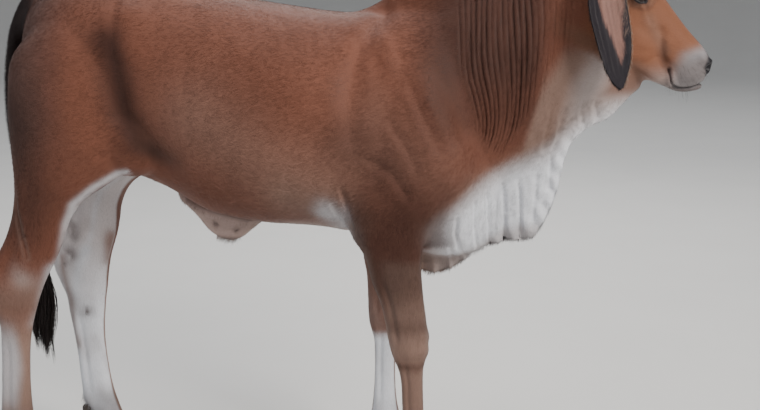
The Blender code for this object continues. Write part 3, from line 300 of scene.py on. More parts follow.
def paint(name, description, *default):
    """A colour."""
    return FloatVectorProperty(name=name, description=description, subtype="COLOR", default=default)


def degrees(name, description, default):
    """An angle, given in degrees."""
    return FloatProperty(name=name, description=description, default=math.radians(default), subtype="ANGLE")


class CattleSkin(bpy.types.PropertyGroup):
    """Sizes and colours of the hide"""

    voxel: metres("Voxel", "Size of the melt's cells", 0.0034)
    depth: metres("Coat depth", "How far the skin lies in", 0.0022)
    triangles: whole("Triangles", "Of the finished skin", 192000)
    wrinkle: metres("Wrinkle", "Depth of a neck wrinkle", 0.0044)
    wrinkles: FloatProperty(name="Wrinkles", description="How many lie side by side", default=15.0)
    red: paint("Red", "Main coat", 0.16, 0.058, 0.035)
    dark: paint("Dark", "Flank", 0.038, 0.014, 0.0092)
    tan: paint("Tan", "Throat", 0.27, 0.185, 0.15)
    pale: paint("Pale", "Dewlap", 0.76, 0.775, 0.825)
    face: paint("Face", "Face", 0.215, 0.085, 0.045)
    grey: paint("Grey", "Muzzle", 0.18, 0.165, 0.168)
    black: paint("Black", "Nose, ears", 0.01, 0.009, 0.011)
    pink: paint("Pink", "In the ear", 0.25, 0.13, 0.105)


class CattleEyes(bpy.types.PropertyGroup):
    """Sizes and colours of the eyes"""

    radius: metres("Radius", "Of the ball", 0.0218)
    iris: paint("Iris", "Colour", 0.01, 0.0045, 0.003)
    white: paint("White", "Colour", 0.05, 0.03, 0.024)


class CattleHorns(bpy.types.PropertyGroup):
    """Sizes and colours of horns and hooves"""

    ring: metres("Ring", "Height of a growth ring", 0.0007)
    horn: paint("Horn", "Colour", 0.19, 0.15, 0.115)
    tip: paint("Tip", "Colour", 0.03, 0.024, 0.02)
    hoof: paint("Hoof", "Colour", 0.036, 0.029, 0.025)


class CattleCoat(bpy.types.PropertyGroup):
    """Sizes and numbers of tufts and strands"""

    strands: whole("Strands", "In the switch of the tail", 1900)
    strand: metres("Strand", "Half width", 0.00075)
    hair: paint("Switch", "Colour", 0.013, 0.01, 0.01)
    trunk_tufts: whole("Trunk tufts", "On each side of the barrel", 45000)
    rear_tufts: whole("Rear tufts", "On rump and thighs", 46000)
    neck_tufts: whole("Neck tufts", "On neck and dewlap", 49000)
    leg_tufts: whole("Leg tufts", "On the four lower legs", 49000)
    head_tufts: whole("Head tufts", "On the head", 49000)
    ear_tufts: whole("Ear tufts", "On both ears", 20000)
    tail_tufts: whole("Tail tufts", "Down the tail", 16000)
    tuft: metres("Tuft", "Half width on the trunk", 0.0009)


class CattleStage(bpy.types.PropertyGroup):
    """The studio"""

    azimuth: degrees("Azimuth", "Of the camera", 7.0)
    elevation: degrees("Elevation", "Of the camera", 11.45)
    distance: metres("Distance", "To the animal's middle", 3.163)
    target: metres("Target", "Height looked at", 0.7223)
    lens: FloatProperty(name="Lens", description="Focal length for a sensor 36 wide", default=59.51)
    floor: paint("Floor", "Colour", 0.62, 0.61, 0.59)


# Curves and sections


def unit(vectors):
    """Rows of an array made one long."""
    return vectors / np.linalg.norm(vectors, axis=1)[:, None]


def square_to(vectors, normals):
    """What is left of vectors without their part along the normals."""
    return vectors - (vectors * normals).sum(1)[:, None] * normals


def turns(count):
    """Angles evenly round a circle."""
    return np.arange(count) * 2 * math.pi / count


def path_length(points):
    """How far along a path each of its points lies."""
    return np.concatenate([[0], np.cumsum(np.linalg.norm(np.diff(points, axis=0), axis=1))])


def curve_through(rows, step=0.012, places=2):
    """Rows joined by a Catmull-Rom curve, p(t) = the usual cubic of four neighbours, about a step apart."""
    rows = np.array(rows, float)
    ends = np.vstack([2 * rows[0] - rows[1], rows, 2 * rows[-1] - rows[-2]])
    gaps = np.linalg.norm(np.diff(rows[:, :places], axis=0), axis=1)
    counts = np.maximum(1, np.round(gaps / step)).astype(int)
    part = np.repeat(np.arange(len(counts)), counts)
    t = (np.arange(len(part)) - np.repeat(np.cumsum(counts) - counts, counts)) / counts[part]
    a, b, c, d = (ends[part + k] for k in range(4))
    t = t[:, None]
    cubic = 2 * b + (c - a) * t + (2 * a - 5 * b + 4 * c - d) * t**2 + (3 * b - a - 3 * c + d) * t**3
    return np.vstack([0.5 * cubic, rows[-1]])


def superellipse(power, count=72):
    """Cosine and sine round a section, each raised to 2 / power, so a higher power is squarer."""
    angle = turns(count)
    cos, sin = np.cos(angle), np.sin(angle)
    return np.sign(cos) * np.abs(cos) ** (2 / power), np.sign(sin) * np.abs(sin) ** (2 / power)


def upright_sections(rows, power=SOFT):
    """x is the row's, y = half width * cosine, z = widest place + sine * the height above or below it."""
    across, rise = superellipse(power)
    x, top, bottom, half, widest = curve_through(rows).T[:, :, None]
    height = np.where(rise > 0, top - widest, widest - bottom)
    return np.stack([x + 0 * rise, half * across, widest + rise * height], axis=2)


def shift_at(shift, height, side):
    """How far forward the front and the back of a leg stand at some heights."""
    heights, front, back = np.array(sorted(shift)).T
    return np.interp(height, heights, front) * (side > 0), np.interp(height, heights, back) * (side > 0)


def leg_sections(rows, side, shift):
    """Level superellipses between front and back, inner and outer side."""
    across, along = superellipse(FULL)
    z, front, back, outer, inner = curve_through(rows).T[:, :, None]
    more_front, more_back = shift_at(shift, z, side)
    front, back = front + more_front, back + more_back
    x = (front + back) / 2 + along * (front - back) / 2
    y = side * ((outer + inner) / 2 + across * (outer - inner) / 2)
    return np.stack([x, y, z + 0 * across], axis=2)


def neck_sections(rows):
    """Superellipses across the neck's slope."""
    across, rise = superellipse(SOFT)
    x, z, above, below, half = curve_through(rows).T[:, :, None]
    height = np.where(rise > 0, above, below) * rise
    return np.stack([x - math.sin(NECK_SLOPE) * height, half * across, z + math.cos(NECK_SLOPE) * height], axis=2)


def from_head(along, sideways, up):
    """Points of the head's own frame in the animal's frame."""
    cos, sin = math.cos(HEAD_PITCH), math.sin(HEAD_PITCH)
    x, z = HEAD_AT[0] + along * cos + up * sin, HEAD_AT[1] - along * sin + up * cos
    return np.stack(np.broadcast_arrays(x, sideways, z), axis=-1)


def to_head(points):
    """Points of the animal's frame along, sideways and up in the head's own frame."""
    cos, sin = math.cos(HEAD_PITCH), math.sin(HEAD_PITCH)
    x, z = points[:, 0] - HEAD_AT[0], points[:, 2] - HEAD_AT[1]
    return x * cos - z * sin, points[:, 1], x * sin + z * cos


def head_sections(rows, power=SQUARE):
    """Superellipses whose sides lean from the top's half width to the bottom's."""
    across, rise = superellipse(power)
    along, top, bottom, half_top, half_bottom = curve_through(rows, 0.006).T[:, :, None]
    half = half_bottom + (half_top - half_bottom) * (rise + 1) / 2
    return from_head(along, across * half, (top + bottom) / 2 + rise * (top - bottom) / 2)


def dewlap_sections():
    """A hanging sheet: root to hem along a quarter sine, swinging in folds that grow towards the hem."""
    rows = curve_through(DEWLAP, 0.004)
    outer, inner = rows[:, :2], rows[:, 2:]
    length = path_length(outer)[:, None]
    down = np.sin(np.linspace(0, math.pi / 2, 30))[None, :]
    line = inner[:, None, :] + down[:, :, None] * (outer - inner)[:, None, :]
    phase = 2 * math.pi * length / DEWLAP_PITCH
    loose = np.interp(outer[:, 0], *DEWLAP_LOOSE)[:, None]
    swing = DEWLAP_FOLD * loose * (np.sin(phase) + 0.45 * np.sin(2.3 * phase + 1)) * down**3
    half = DEWLAP_HEM + (DEWLAP_ROOT - DEWLAP_HEM) * (1 - down) ** 1.1
    half = half * np.sqrt(np.clip(1 - down**24, 0.06, 1))
    one, other = (np.stack([line[..., 0], swing + sign * half, line[..., 1]], axis=2) for sign in (1, -1))
    return np.concatenate([one, other[:, ::-1]], axis=1)


def moving_frame(points):
    """Unit tangents of a path, with a side vector that is carried along it without turning."""
    ahead = unit(np.gradient(points, axis=0))
    side = np.array([0.0, 1.0, 0.0]) if abs(ahead[0][1]) < 0.7 else np.array([1.0, 0.0, 0.0])
    sides = []
    for way in ahead:
        side = side - side.dot(way) * way
        side = side / np.linalg.norm(side)
        sides.append(side)
    sides = np.array(sides)
    return ahead, sides, np.cross(ahead, sides)


def tube_sections(rows, count=40, step=0.006):
    """Circles square to a path of x, y, z and radius."""
    rows = curve_through(rows, step, 3)
    _, side, up = moving_frame(rows[:, :3])
    angle = turns(count)
    ring = np.cos(angle)[None, :, None] * side[:, None] + np.sin(angle)[None, :, None] * up[:, None]
    return rows[:, None, :3] + rows[:, None, 3:] * ring


def ear_sections(side, count=30):
    """Crescents: a parabola across the ear, thickened by a rounded wall, its margins curled to one side."""
    rows = curve_through(EAR, 0.0035, 3)
    points = rows[:, :3] * (1, side, 1)
    ahead = unit(np.gradient(points, axis=0))
    facing = np.array(EAR_FACING) * (1, side, 1)
    normal = unit(facing - (ahead @ facing)[:, None] * ahead)
    wide = np.cross(ahead, normal)[:, None]
    normal = normal[:, None]
    across = np.sin(np.linspace(-math.pi / 2, math.pi / 2, count))[None, :, None]
    half, thick, cup = rows[:, 3:].T[:, :, None, None]
    middle = points[:, None] + across * half * wide + cup * half * across**2 * normal
    wall = (thick * 0.92) * np.sqrt(np.clip(1 - 0.92 * across**4, 0.08, 1))
    one, other = middle + wall * normal, middle - wall * normal
    return np.concatenate([one, other[:, ::-1]], axis=1)


def ellipsoid_sections(centre, sizes, pitch, count=40):
    """A ball's circles of latitude, scaled on three axes and pitched about Y."""
    latitude = np.linspace(-math.pi / 2 + 0.02, math.pi / 2 - 0.02, count // 2)[:, None]
    angle = (turns(count))[None]
    x = sizes[0] * np.cos(latitude) * np.cos(angle)
    y = sizes[1] * np.cos(latitude) * np.sin(angle)
    z = sizes[2] * np.sin(latitude) + 0 * angle
    cos, sin = math.cos(pitch), math.sin(pitch)
    return np.stack([centre[0] + cos * x + sin * z, centre[1] + y, centre[2] - sin * x + cos * z], axis=2)


# Meshes


def grid_faces(rings, count):
    """Quads between the rings of a loft, as an index array."""
    j = np.arange(count)
    k = (j + 1) % count
    i = (np.arange(rings - 1) * count)[:, None]
    return np.stack([i + j, i + k, i + count + k, i + count + j], axis=2).reshape(-1, 4)


def mesh_of(name, points, quads, caps=()):
    """A mesh of quads (or triangles) and any caps."""
    mesh = bpy.data.meshes.new(name)
    mesh.from_pydata(points.tolist(), [], quads.tolist() + [list(map(int, cap)) for cap in caps])
    mesh.validate()
    return mesh


def loft_arrays(sections):
    """Points and faces of a loft with flat caps."""
    rings, count = sections.shape[:2]
    caps = [np.arange(count)[::-1], np.arange((rings - 1) * count, rings * count)]
    return sections.reshape(-1, 3), grid_faces(rings, count), caps


def outward(mesh):
    """Turns every face outwards."""
    shape = bmesh.new()
    shape.from_mesh(mesh)
    bmesh.ops.recalc_face_normals(shape, faces=shape.faces)
    shape.to_mesh(mesh)
    shape.free()
    return mesh


def loft(name, sections):
    """A closed mesh through the sections."""
    points, quads, caps = loft_arrays(sections)
    return outward(mesh_of(name, points, quads, caps))


def add_object(name, mesh):
    """Links a mesh to the scene as an object at the origin."""
    obj = bpy.data.objects.new(name, mesh)
    bpy.context.scene.collection.objects.link(obj)
    return obj


def join_meshes(name, meshes):
    """One mesh that holds them all."""
    whole = bmesh.new()
    for mesh in meshes:
        whole.from_mesh(mesh)
        bpy.data.meshes.remove(mesh)
    mesh = bpy.data.meshes.new(name)
    whole.to_mesh(mesh)
    whole.free()
    return mesh


def settle(obj):
    """Makes an object's modifiers into its mesh."""
    graph = bpy.context.evaluated_depsgraph_get()
    mesh = bpy.data.meshes.new_from_object(obj.evaluated_get(graph))
    obj.modifiers.clear()
    obj.data = mesh
    return obj


def vectors_of(items, name):
    """A vector of each item of a mesh, as an array."""
    values = np.empty(len(items) * 3, np.float32)
    items.foreach_get(name, values)
    return values.reshape(-1, 3).astype(float)


def points_of(mesh):
    """The vertices' places."""
    return vectors_of(mesh.vertices, "co")


def normals_of(mesh):
    """The vertices' normals."""
    return vectors_of(mesh.vertex_normals, "vector")


def skin_arrays(skin):
    """The skin's points, in the sections' frame, and its normals."""
    return points_of(skin.data) - (SHIFT, 0, 0), normals_of(skin.data)


def place_points(mesh, points):
    """Moves the vertices to new places."""
    mesh.vertices.foreach_set("co", points.astype(np.float32).ravel())
    mesh.update()


def shown(mesh):
    """Moves a finished mesh to the finished object's frame and shades it smooth."""
    place_points(mesh, points_of(mesh) + (SHIFT, 0, 0))
    mesh.shade_smooth()
    return mesh


def set_value(mesh, name, values):
    """A number at each vertex."""
    layer = mesh.attributes.new(name, "FLOAT", "POINT")
    layer.data.foreach_set("value", np.asarray(values, np.float32))


def set_colour(mesh, name, colours):
    """A colour at each vertex."""
    layer = mesh.attributes.new(name, "FLOAT_COLOR", "POINT")
    full = np.ones((len(colours), 4), np.float32)
    full[:, :3] = colours
    layer.data.foreach_set("color", full.ravel())


def nearest(points, cloud, chunk=2000):
    """Index of and distance to the nearest point of a cloud, from |a - b|^2 = a.a - 2 a.b + b.b."""
    index = np.empty(len(points), int)
    gap = np.empty(len(points))
    cloud_square = (cloud**2).sum(1)
    for start in range(0, len(points), chunk):
        some = points[start : start + chunk]
        square = (some**2).sum(1)[:, None] - 2 * some @ cloud.T + cloud_square
        best = square.argmin(1)
        index[start : start + chunk] = best
        gap[start : start + chunk] = np.sqrt(np.maximum(square[np.arange(len(some)), best], 0))
    return index, gap


def step_up(value, low, high):
    """0 below low, 1 above high, smooth between."""
    t = np.clip((value - low) / (high - low), 0, 1)
    return t * t * (3 - 2 * t)


def step_down(value, low, high):
    """1 below low, 0 above high, smooth between."""
    return 1 - step_up(value, low, high)


def hump_of(value, width):
    """A bell of height 1 and that half width."""
    return np.exp(-((value / width) ** 2))


def to_path(x, z, path):
    """Distance in the side view from points to a line of straight pieces, and how far along it they lie."""
    path = np.array(path, float)
    best = np.full(len(x), 9.0)
    share = np.zeros(len(x))
    pieces = len(path) - 1
    for i, (a, b) in enumerate(zip(path[:-1], path[1:])):
        way = b - a
        t = np.clip(((x - a[0]) * way[0] + (z - a[1]) * way[1]) / way.dot(way), 0, 1)
        gap = np.hypot(x - a[0] - t * way[0], z - a[1] - t * way[1])
        closer = gap < best
        best = np.where(closer, gap, best)
        share = np.where(closer, (i + t) / pieces, share)
    return best, share


def ripple(points, scale, seed=0):
    """Soft noise between -1 and 1: a sum of five sines along seeded random directions."""
    draw = np.random.default_rng(seed)
    ways = unit(draw.normal(size=(5, 3)))
    phases = draw.uniform(0, 2 * math.pi, 5)
    waves = ways * scale * np.array([[1.0], [1.3], [0.8], [1.7], [0.6]])
    return np.sin(points @ waves.T + phases).mean(1) * 1.6


# The hide's shape


def flesh_mesh():
    """Every lofted form of the body, head and tail, still overlapping."""
    meshes = [
        loft("trunk", upright_sections(TRUNK)),
        loft("hump", upright_sections(HUMP, ROUND)),
        loft("sheath", upright_sections(SHEATH)),
        loft("neck", neck_sections(NECK)),
        loft("dewlap", dewlap_sections()),
        loft("skull", head_sections(SKULL)),
        loft("jaw", head_sections(JAW, SOFT)),
        loft("tail", tube_sections(TAIL)),
    ]
    for _, side in SIDES:
        meshes.append(loft("foreleg", leg_sections(FORELEG, side, FORELEG_SHIFT)))
        meshes.append(loft("hindleg", leg_sections(HINDLEG, side, HINDLEG_SHIFT)))
        for (x, y, z), sizes, pitch in MASSES:
            meshes.append(loft("mass", ellipsoid_sections((x, side * y, z), sizes, math.radians(pitch))))
        for (along, sideways, up), sizes in SWELLINGS:
            centre = from_head(along, side * sideways, up)
            meshes.append(loft("swelling", ellipsoid_sections(centre, sizes, HEAD_PITCH)))
    return join_meshes("flesh", meshes)


def head_share(points):
    """1 on the head and 0 behind it, with a soft change behind the jaw."""
    along, _, up = to_head(points)
    return step_up(along + 0.25 * up, -0.1, 0.02) * step_up(points[:, 2], 0.98, 1.03)


def leg_share(points):
    """1 on the lower legs and the tail."""
    low = 1 - step_up(points[:, 2], 0.58, 0.72)
    tail = step_up(-points[:, 0], 0.885, 0.915) * step_up(points[:, 2], 0.5, 0.6)
    return np.maximum(low, tail)


def graded_group(obj, weights, most):
    """A vertex group of the weights, up to a most, in tenths."""
    group = obj.vertex_groups.new(name="graded")
    steps = np.round(np.clip(weights, 0, most) * 10).astype(int)
    for level in range(1, 11):
        chosen = np.flatnonzero(steps == level)
        if len(chosen):
            group.add(chosen.tolist(), level / 10, "REPLACE")
    return group


def smooth_by(obj, weights, iterations):
    """Evens the mesh out, as much at each vertex as its weight says."""
    group = graded_group(obj, weights, 1)
    soft = obj.modifiers.new("soft", "SMOOTH")
    soft.factor = 0.5
    soft.iterations = iterations
    soft.vertex_group = group.name
    settle(obj)
    obj.vertex_groups.clear()


def reach_of(along, sideways, up, centre, sizes):
    """Distance from a point on the head and its mirror image, in half sizes of an ellipsoid round them."""
    places = along, np.abs(sideways), up
    a, b, c = ((place - middle) / size for place, middle, size in zip(places, centre, sizes))
    return np.sqrt(a**2 + b**2 + c**2)


def lid_gap(along, up):
    """Distance to the gap between the lids, negative in it, and the height over the gap's slanted middle."""
    a, b = along - EYE_AT[0], up - EYE_AT[2]
    cos, sin = math.cos(LID_SLANT), math.sin(LID_SLANT)
    a, b = a * cos - b * sin, a * sin + b * cos
    edge = np.sqrt(np.clip(1 - (a / LID_REACH) ** 2, 0, 1)) ** 1.25
    over = np.maximum(np.abs(a) - LID_REACH, 0)
    height = np.where(b > 0, b - LID_UPPER * edge, -b - LID_LOWER * edge)
    return np.where(over > 0, np.hypot(over, np.maximum(height, 0)), height), b


def shape_lids(points, radius):
    """Round each eye the skin is drawn on to the ball: r = radius + lid, and sunk behind it in the gap."""
    along, sideways, up = to_head(points)
    centre_y = EYE_AT[1]
    for _, side in SIDES:
        out = side * sideways - centre_y
        near = (np.hypot(along - EYE_AT[0], up - EYE_AT[2]) < 0.042) & (out > -0.02)
        near = near & (side * sideways > 0.02)
        u, v, w = along[near] - EYE_AT[0], out[near], up[near] - EYE_AT[2]
        gap, b = lid_gap(along[near], up[near])
        r = np.sqrt(u**2 + v**2 + w**2)
        lid = 0.001 + (0.0032 + 0.001 * step_up(b, 0.0, 0.008)) * step_up(gap, 0.0, 0.005)
        crease = 0.0016 * hump_of(gap - 0.0085, 0.0016) * step_up(b, -0.002, 0.004)
        lower = hump_of(gap - 0.006, 0.0013) + hump_of(gap - 0.0105, 0.0015)
        crease = crease + 0.0011 * lower * step_up(-b, 0.001, 0.006)
        hug = 1 - step_up(gap, 0.006, 0.019)
        wanted = np.where(gap < 0, radius - 0.0045, radius + lid)
        new = r + (wanted - r) * hug - crease
        scale = (new / np.maximum(r, 1e-6))[:, None]
        local = np.stack([u, v, w], axis=1) * scale
        moved = from_head(EYE_AT[0] + local[:, 0], side * (centre_y + local[:, 1]), EYE_AT[2] + local[:, 2])
        points[near] = moved
    return points


def head_creases(points):
    """Inward push for the mouth, lips, nostrils, brow, face furrows and a groove down the middle of the muzzle."""
    along, sideways, up = to_head(points)
    push = np.zeros(len(points))
    fore = step_up(along, 0.15, 0.2)
    gap, _ = to_path(along, up, curve_through(MOUTH_LINE, 0.004))
    push += fore * (0.0062 * hump_of(gap, 0.0023) - 0.002 * hump_of(gap - 0.007, 0.0045))
    side_wall = step_up(np.abs(sideways), 0.02, 0.032)
    for path, depth, width in FACE_FOLDS:
        push += side_wall * depth * hump_of(to_path(along, up, path)[0], width)
    push += BROW_DEPTH * hump_of(reach_of(along, sideways, up, BROW_AT, BROW), 1.0)
    groove = hump_of(sideways, 0.0022) * step_up(along, 0.326, 0.334) * step_up(-up, 0.04, 0.052)
    push += 0.0018 * groove * step_down(-up, 0.086, 0.094)
    q = reach_of(along, sideways, up, NOSTRIL_AT, NOSTRIL)
    push += 0.015 * np.clip(1 - q**2, 0, 1) - 0.0022 * hump_of(q - 1.35, 0.28)
    return push


def body_creases(points, normals):
    """Inward push for the folds of the neck, dewlap, flank and legs."""
    x, _, z = points.T
    wall = step_up(np.abs(normals[:, 1]), 0.15, 0.45)
    push = np.zeros(len(points))
    body = 1 - head_share(points)
    for path, width, depth in CREASES:
        low = np.min(path, axis=0) - 3 * width
        high = np.max(path, axis=0) + 3 * width
        near = (x > low[0]) & (x < high[0]) & (z > low[1]) & (z < high[1])
        gap, share = to_path(x[near], z[near], path)
        if abs(depth) < 0.007:
            ends = step_up(share, 0.0, 0.12) * step_down(share, 0.88, 1.0)
        else:
            ends = step_up(share, 0, 0.2)
        push[near] += body[near] * wall[near] * depth * hump_of(gap, width) * (0.25 + 0.75 * ends)
    push += body * (0.0011 * ripple(points, 28, 7) + 0.0005 * ripple(points, 80, 8))
    return push + leg_forms(points, normals)


def leg_forms(points, normals):
    """Tendon grooves, knee and hock bones and fetlock folds, by height and place from a leg's back to its front."""
    x, y, z = points.T
    push = np.zeros(len(points))
    for rows, shift, fore in ((FORELEG, FORELEG_SHIFT, True), (HINDLEG, HINDLEG_SHIFT, False)):
        table = np.array(rows)[::-1]
        ahead = [np.where(y > 0, np.interp(z, *np.array(sorted(shift)).T[[0, k]]), 0) for k in (1, 2)]
        front = np.interp(z, table[:, 0], table[:, 1]) + ahead[0]
        back = np.interp(z, table[:, 0], table[:, 2]) + ahead[1]
        u = (x - (front + back) / 2) / ((front - back) / 2)
        on = (np.abs(u) < 1.3) & (z < 0.8) & (np.abs(y) > 0.05) & (np.abs(y) < 0.24)
        wall = step_up(np.abs(normals[:, 1]), 0.3, 0.7)
        cannon = step_up(z, 0.135, 0.19) * step_down(z, 0.33, 0.4)
        form = 0.0034 * wall * cannon * hump_of(u + 0.3, 0.2)
        form -= 0.0012 * wall * cannon * hump_of(u + 0.66, 0.22)
        fold = np.sin(z * 2 * math.pi / 0.0105) ** 2 * hump_of(z - 0.088, 0.022)
        form += 0.001 * fold * step_up(-u, -0.6, 0.6)
        if fore:
            form -= 0.0032 * step_up(u, 0.25, 0.85) * (hump_of(z - 0.425, 0.016) + hump_of(z - 0.385, 0.016))
            form += 0.0026 * wall * hump_of(z - 0.365, 0.014) * step_up(u, -0.5, 0.0)
            form -= 0.003 * wall * hump_of(z - 0.405, 0.04) * hump_of(u - 0.05, 0.35)
            form += 0.0045 * wall * hump_of(u + 0.48, 0.16) * step_up(z, 0.4, 0.43) * step_down(z, 0.52, 0.6)
        else:
            form += 0.0044 * wall * hump_of(u + 0.46, 0.2) * step_up(z, 0.52, 0.56) * step_down(z, 0.66, 0.74)
            form -= 0.0036 * wall * hump_of(np.hypot(u * 0.04, z - 0.515), 0.02)
            form += 0.0026 * wall * hump_of(z - 0.46, 0.018) * hump_of(u - 0.1, 0.5)
        push += np.where(on, form, 0)
    return push


def wrinkle_push(points, depth, number):
    """Neck wrinkles: narrow valleys where the place between two lines crosses whole numbers."""
    x, y, z = points.T
    heights, first, last = np.array(WRINKLES).T
    lifts = (-0.03, -0.01, 0.01, 0.03)
    left, right = (sum(np.interp(z + lift, heights, line) for lift in lifts) / 4 for line in (first, last))
    share = (x - left) / (right - left)
    side = np.sign(y)
    wander = 0.03 * ripple(np.stack([x * 0, y * 0 + 5 * side, z], axis=1), 24, 3)
    phase = number * (share + wander) + 0.62 * ripple(np.stack([x, 9 * side, z * 0.8], axis=1), 23, 5)
    valley = (1 - np.abs(np.sin(math.pi * phase))) ** 1.35
    whole = np.floor(phase + 0.5)
    own = 0.66 + 0.3 * np.sin(7.1 * whole + 1.3 * side) + 0.34 * np.sin(3.7 * whole + z * 23)
    end = np.interp(x, *WRINKLE_END)
    mask = step_up(z, end - 0.012, end + 0.05) * step_up(share, -0.09, 0.06)
    mask = mask * (1 - 0.62 * step_up(share, 0.85, 1.15)) * step_down(share, 1.5, 1.95)
    mask = mask * step_down(z, 1.285, 1.34) * step_up(np.abs(y), 0.012, 0.04)
    return depth * mask * valley * np.clip(own, 0.15, 1.2)


def cut_at_coronets(obj):
    """Ends each leg flat where its hooves begin."""
    mesh = bpy.data.meshes.new("floor_block")
    shape = bmesh.new()
    bmesh.ops.create_cube(shape, size=2.0)
    bmesh.ops.translate(shape, vec=(0, 0, CORONET + 0.0008 - 1.0), verts=shape.verts)
    shape.to_mesh(mesh)
    shape.free()
    return combine(obj, mesh, "DIFFERENCE")


def combine(obj, mesh, operation):
    """A Boolean with another mesh, which is then removed."""
    other = add_object("other", mesh)
    cut = obj.modifiers.new("cut", "BOOLEAN")
    cut.operation = operation
    cut.solver = "MANIFOLD"
    cut.object = other
    settle(obj)
    bpy.data.objects.remove(other)
    return obj


def refine(mesh, chosen):
    """Splits every edge of the chosen faces in two."""
    shape = bmesh.new()
    shape.from_mesh(mesh)
    shape.faces.ensure_lookup_table()
    edges = {edge for index in chosen for edge in shape.faces[index].edges}
    bmesh.ops.subdivide_edges(shape, edges=list(edges), cuts=1, use_grid_fill=True)
    bmesh.ops.triangulate(shape, faces=[face for face in shape.faces if len(face.verts) > 4])
    shape.to_mesh(mesh)
    shape.free()


def thinned(obj, weights, triangles, pull=0.0004, scale=100.0):
    """Fewer triangles, where least is lost: a flat error plus pull * weight * edge, worked out on a large copy."""
    place_points(obj.data, points_of(obj.data) * scale)
    group = graded_group(obj, weights, 0.9)
    count = sum(len(face.vertices) - 2 for face in obj.data.polygons)
    fewer = obj.modifiers.new("fewer", "DECIMATE")
    fewer.ratio = triangles / count
    fewer.use_collapse_triangulate = True
    fewer.vertex_group = group.name
    fewer.invert_vertex_group = True
    fewer.vertex_group_factor = pull
    settle(obj)
    obj.vertex_groups.clear()
    place_points(obj.data, points_of(obj.data) / scale)
    return obj


# The hide's colours


def blend(a, b, share):
    """Colours a turning to b."""
    return a + (np.asarray(b, float) - a) * share[:, None]


def ear_place(points):
    """For points on an ear: whether they are, place along it, place across from its rear edge, and inner side."""
    on, along, across, inner = (np.zeros(len(points)) for _ in range(4))
    for _, side in SIDES:
        sections = ear_sections(side)
        rings, count = sections.shape[:2]
        cloud = sections.reshape(-1, 3)
        low, high = cloud.min(0) - 0.004, cloud.max(0) + 0.004
        near = np.flatnonzero(((points > low) & (points < high)).all(1))
        index, gap = nearest(points[near], cloud)
        ring, place = index // count, index % count
        half = count // 2
        first = place < half
        column = np.where(first, place, count - 1 - place)
        spread = np.sin(-math.pi / 2 + math.pi * column / (half - 1)) * 0.5 + 0.5
        sure = (gap < 0.0052) & (ring > 6)
        rows = near[sure]
        on[rows] = step_up(ring[sure] / rings, 0.06, 0.2)
        along[rows] = ring[sure] / rings
        across[rows] = spread[sure] if side > 0 else 1 - spread[sure]
        inner[rows] = first[sure]
    return on, along, across, inner


def tail_share(points):
    """1 on the tail, where its dark hair begins behind the rump."""
    rows = curve_through(TAIL, 0.01, 3)
    near = np.flatnonzero((points[:, 0] < -0.83) & (np.abs(points[:, 1]) < 0.05) & (points[:, 2] > 0.53))
    share = np.zeros(len(points))
    index, gap = nearest(points[near], rows[:, :3])
    share[near] = step_down(gap - rows[index, 3], 0.0015, 0.0065) * step_up(-points[near, 0], 0.855, 0.885)
    return share


class Painter:
    """Colours at points of the hide, laid one over another through soft masks of their places."""

    def __init__(self, points, normals, look):
        self.points, self.normals = points, normals
        self.paints = [
            np.array(getattr(look, name))
            for name in ("red", "dark", "tan", "pale", "face", "grey", "black", "pink")
        ]
        self.colour = np.tile(self.paints[0], (len(points), 1))
        self.blotch, self.fine = ripple(points, 22, 1), ripple(points, 90, 2)
        self.wave = 0.01 * self.blotch
        self.outer = np.abs(points[:, 1])

    def lay(self, paint, share):
        """Turns the colour towards a paint."""
        self.colour = blend(self.colour, paint, share)

    def near(self, width, *path):
        """A bell round a line in the side view."""
        return hump_of(to_path(self.points[:, 0], self.points[:, 2], path)[0], width)


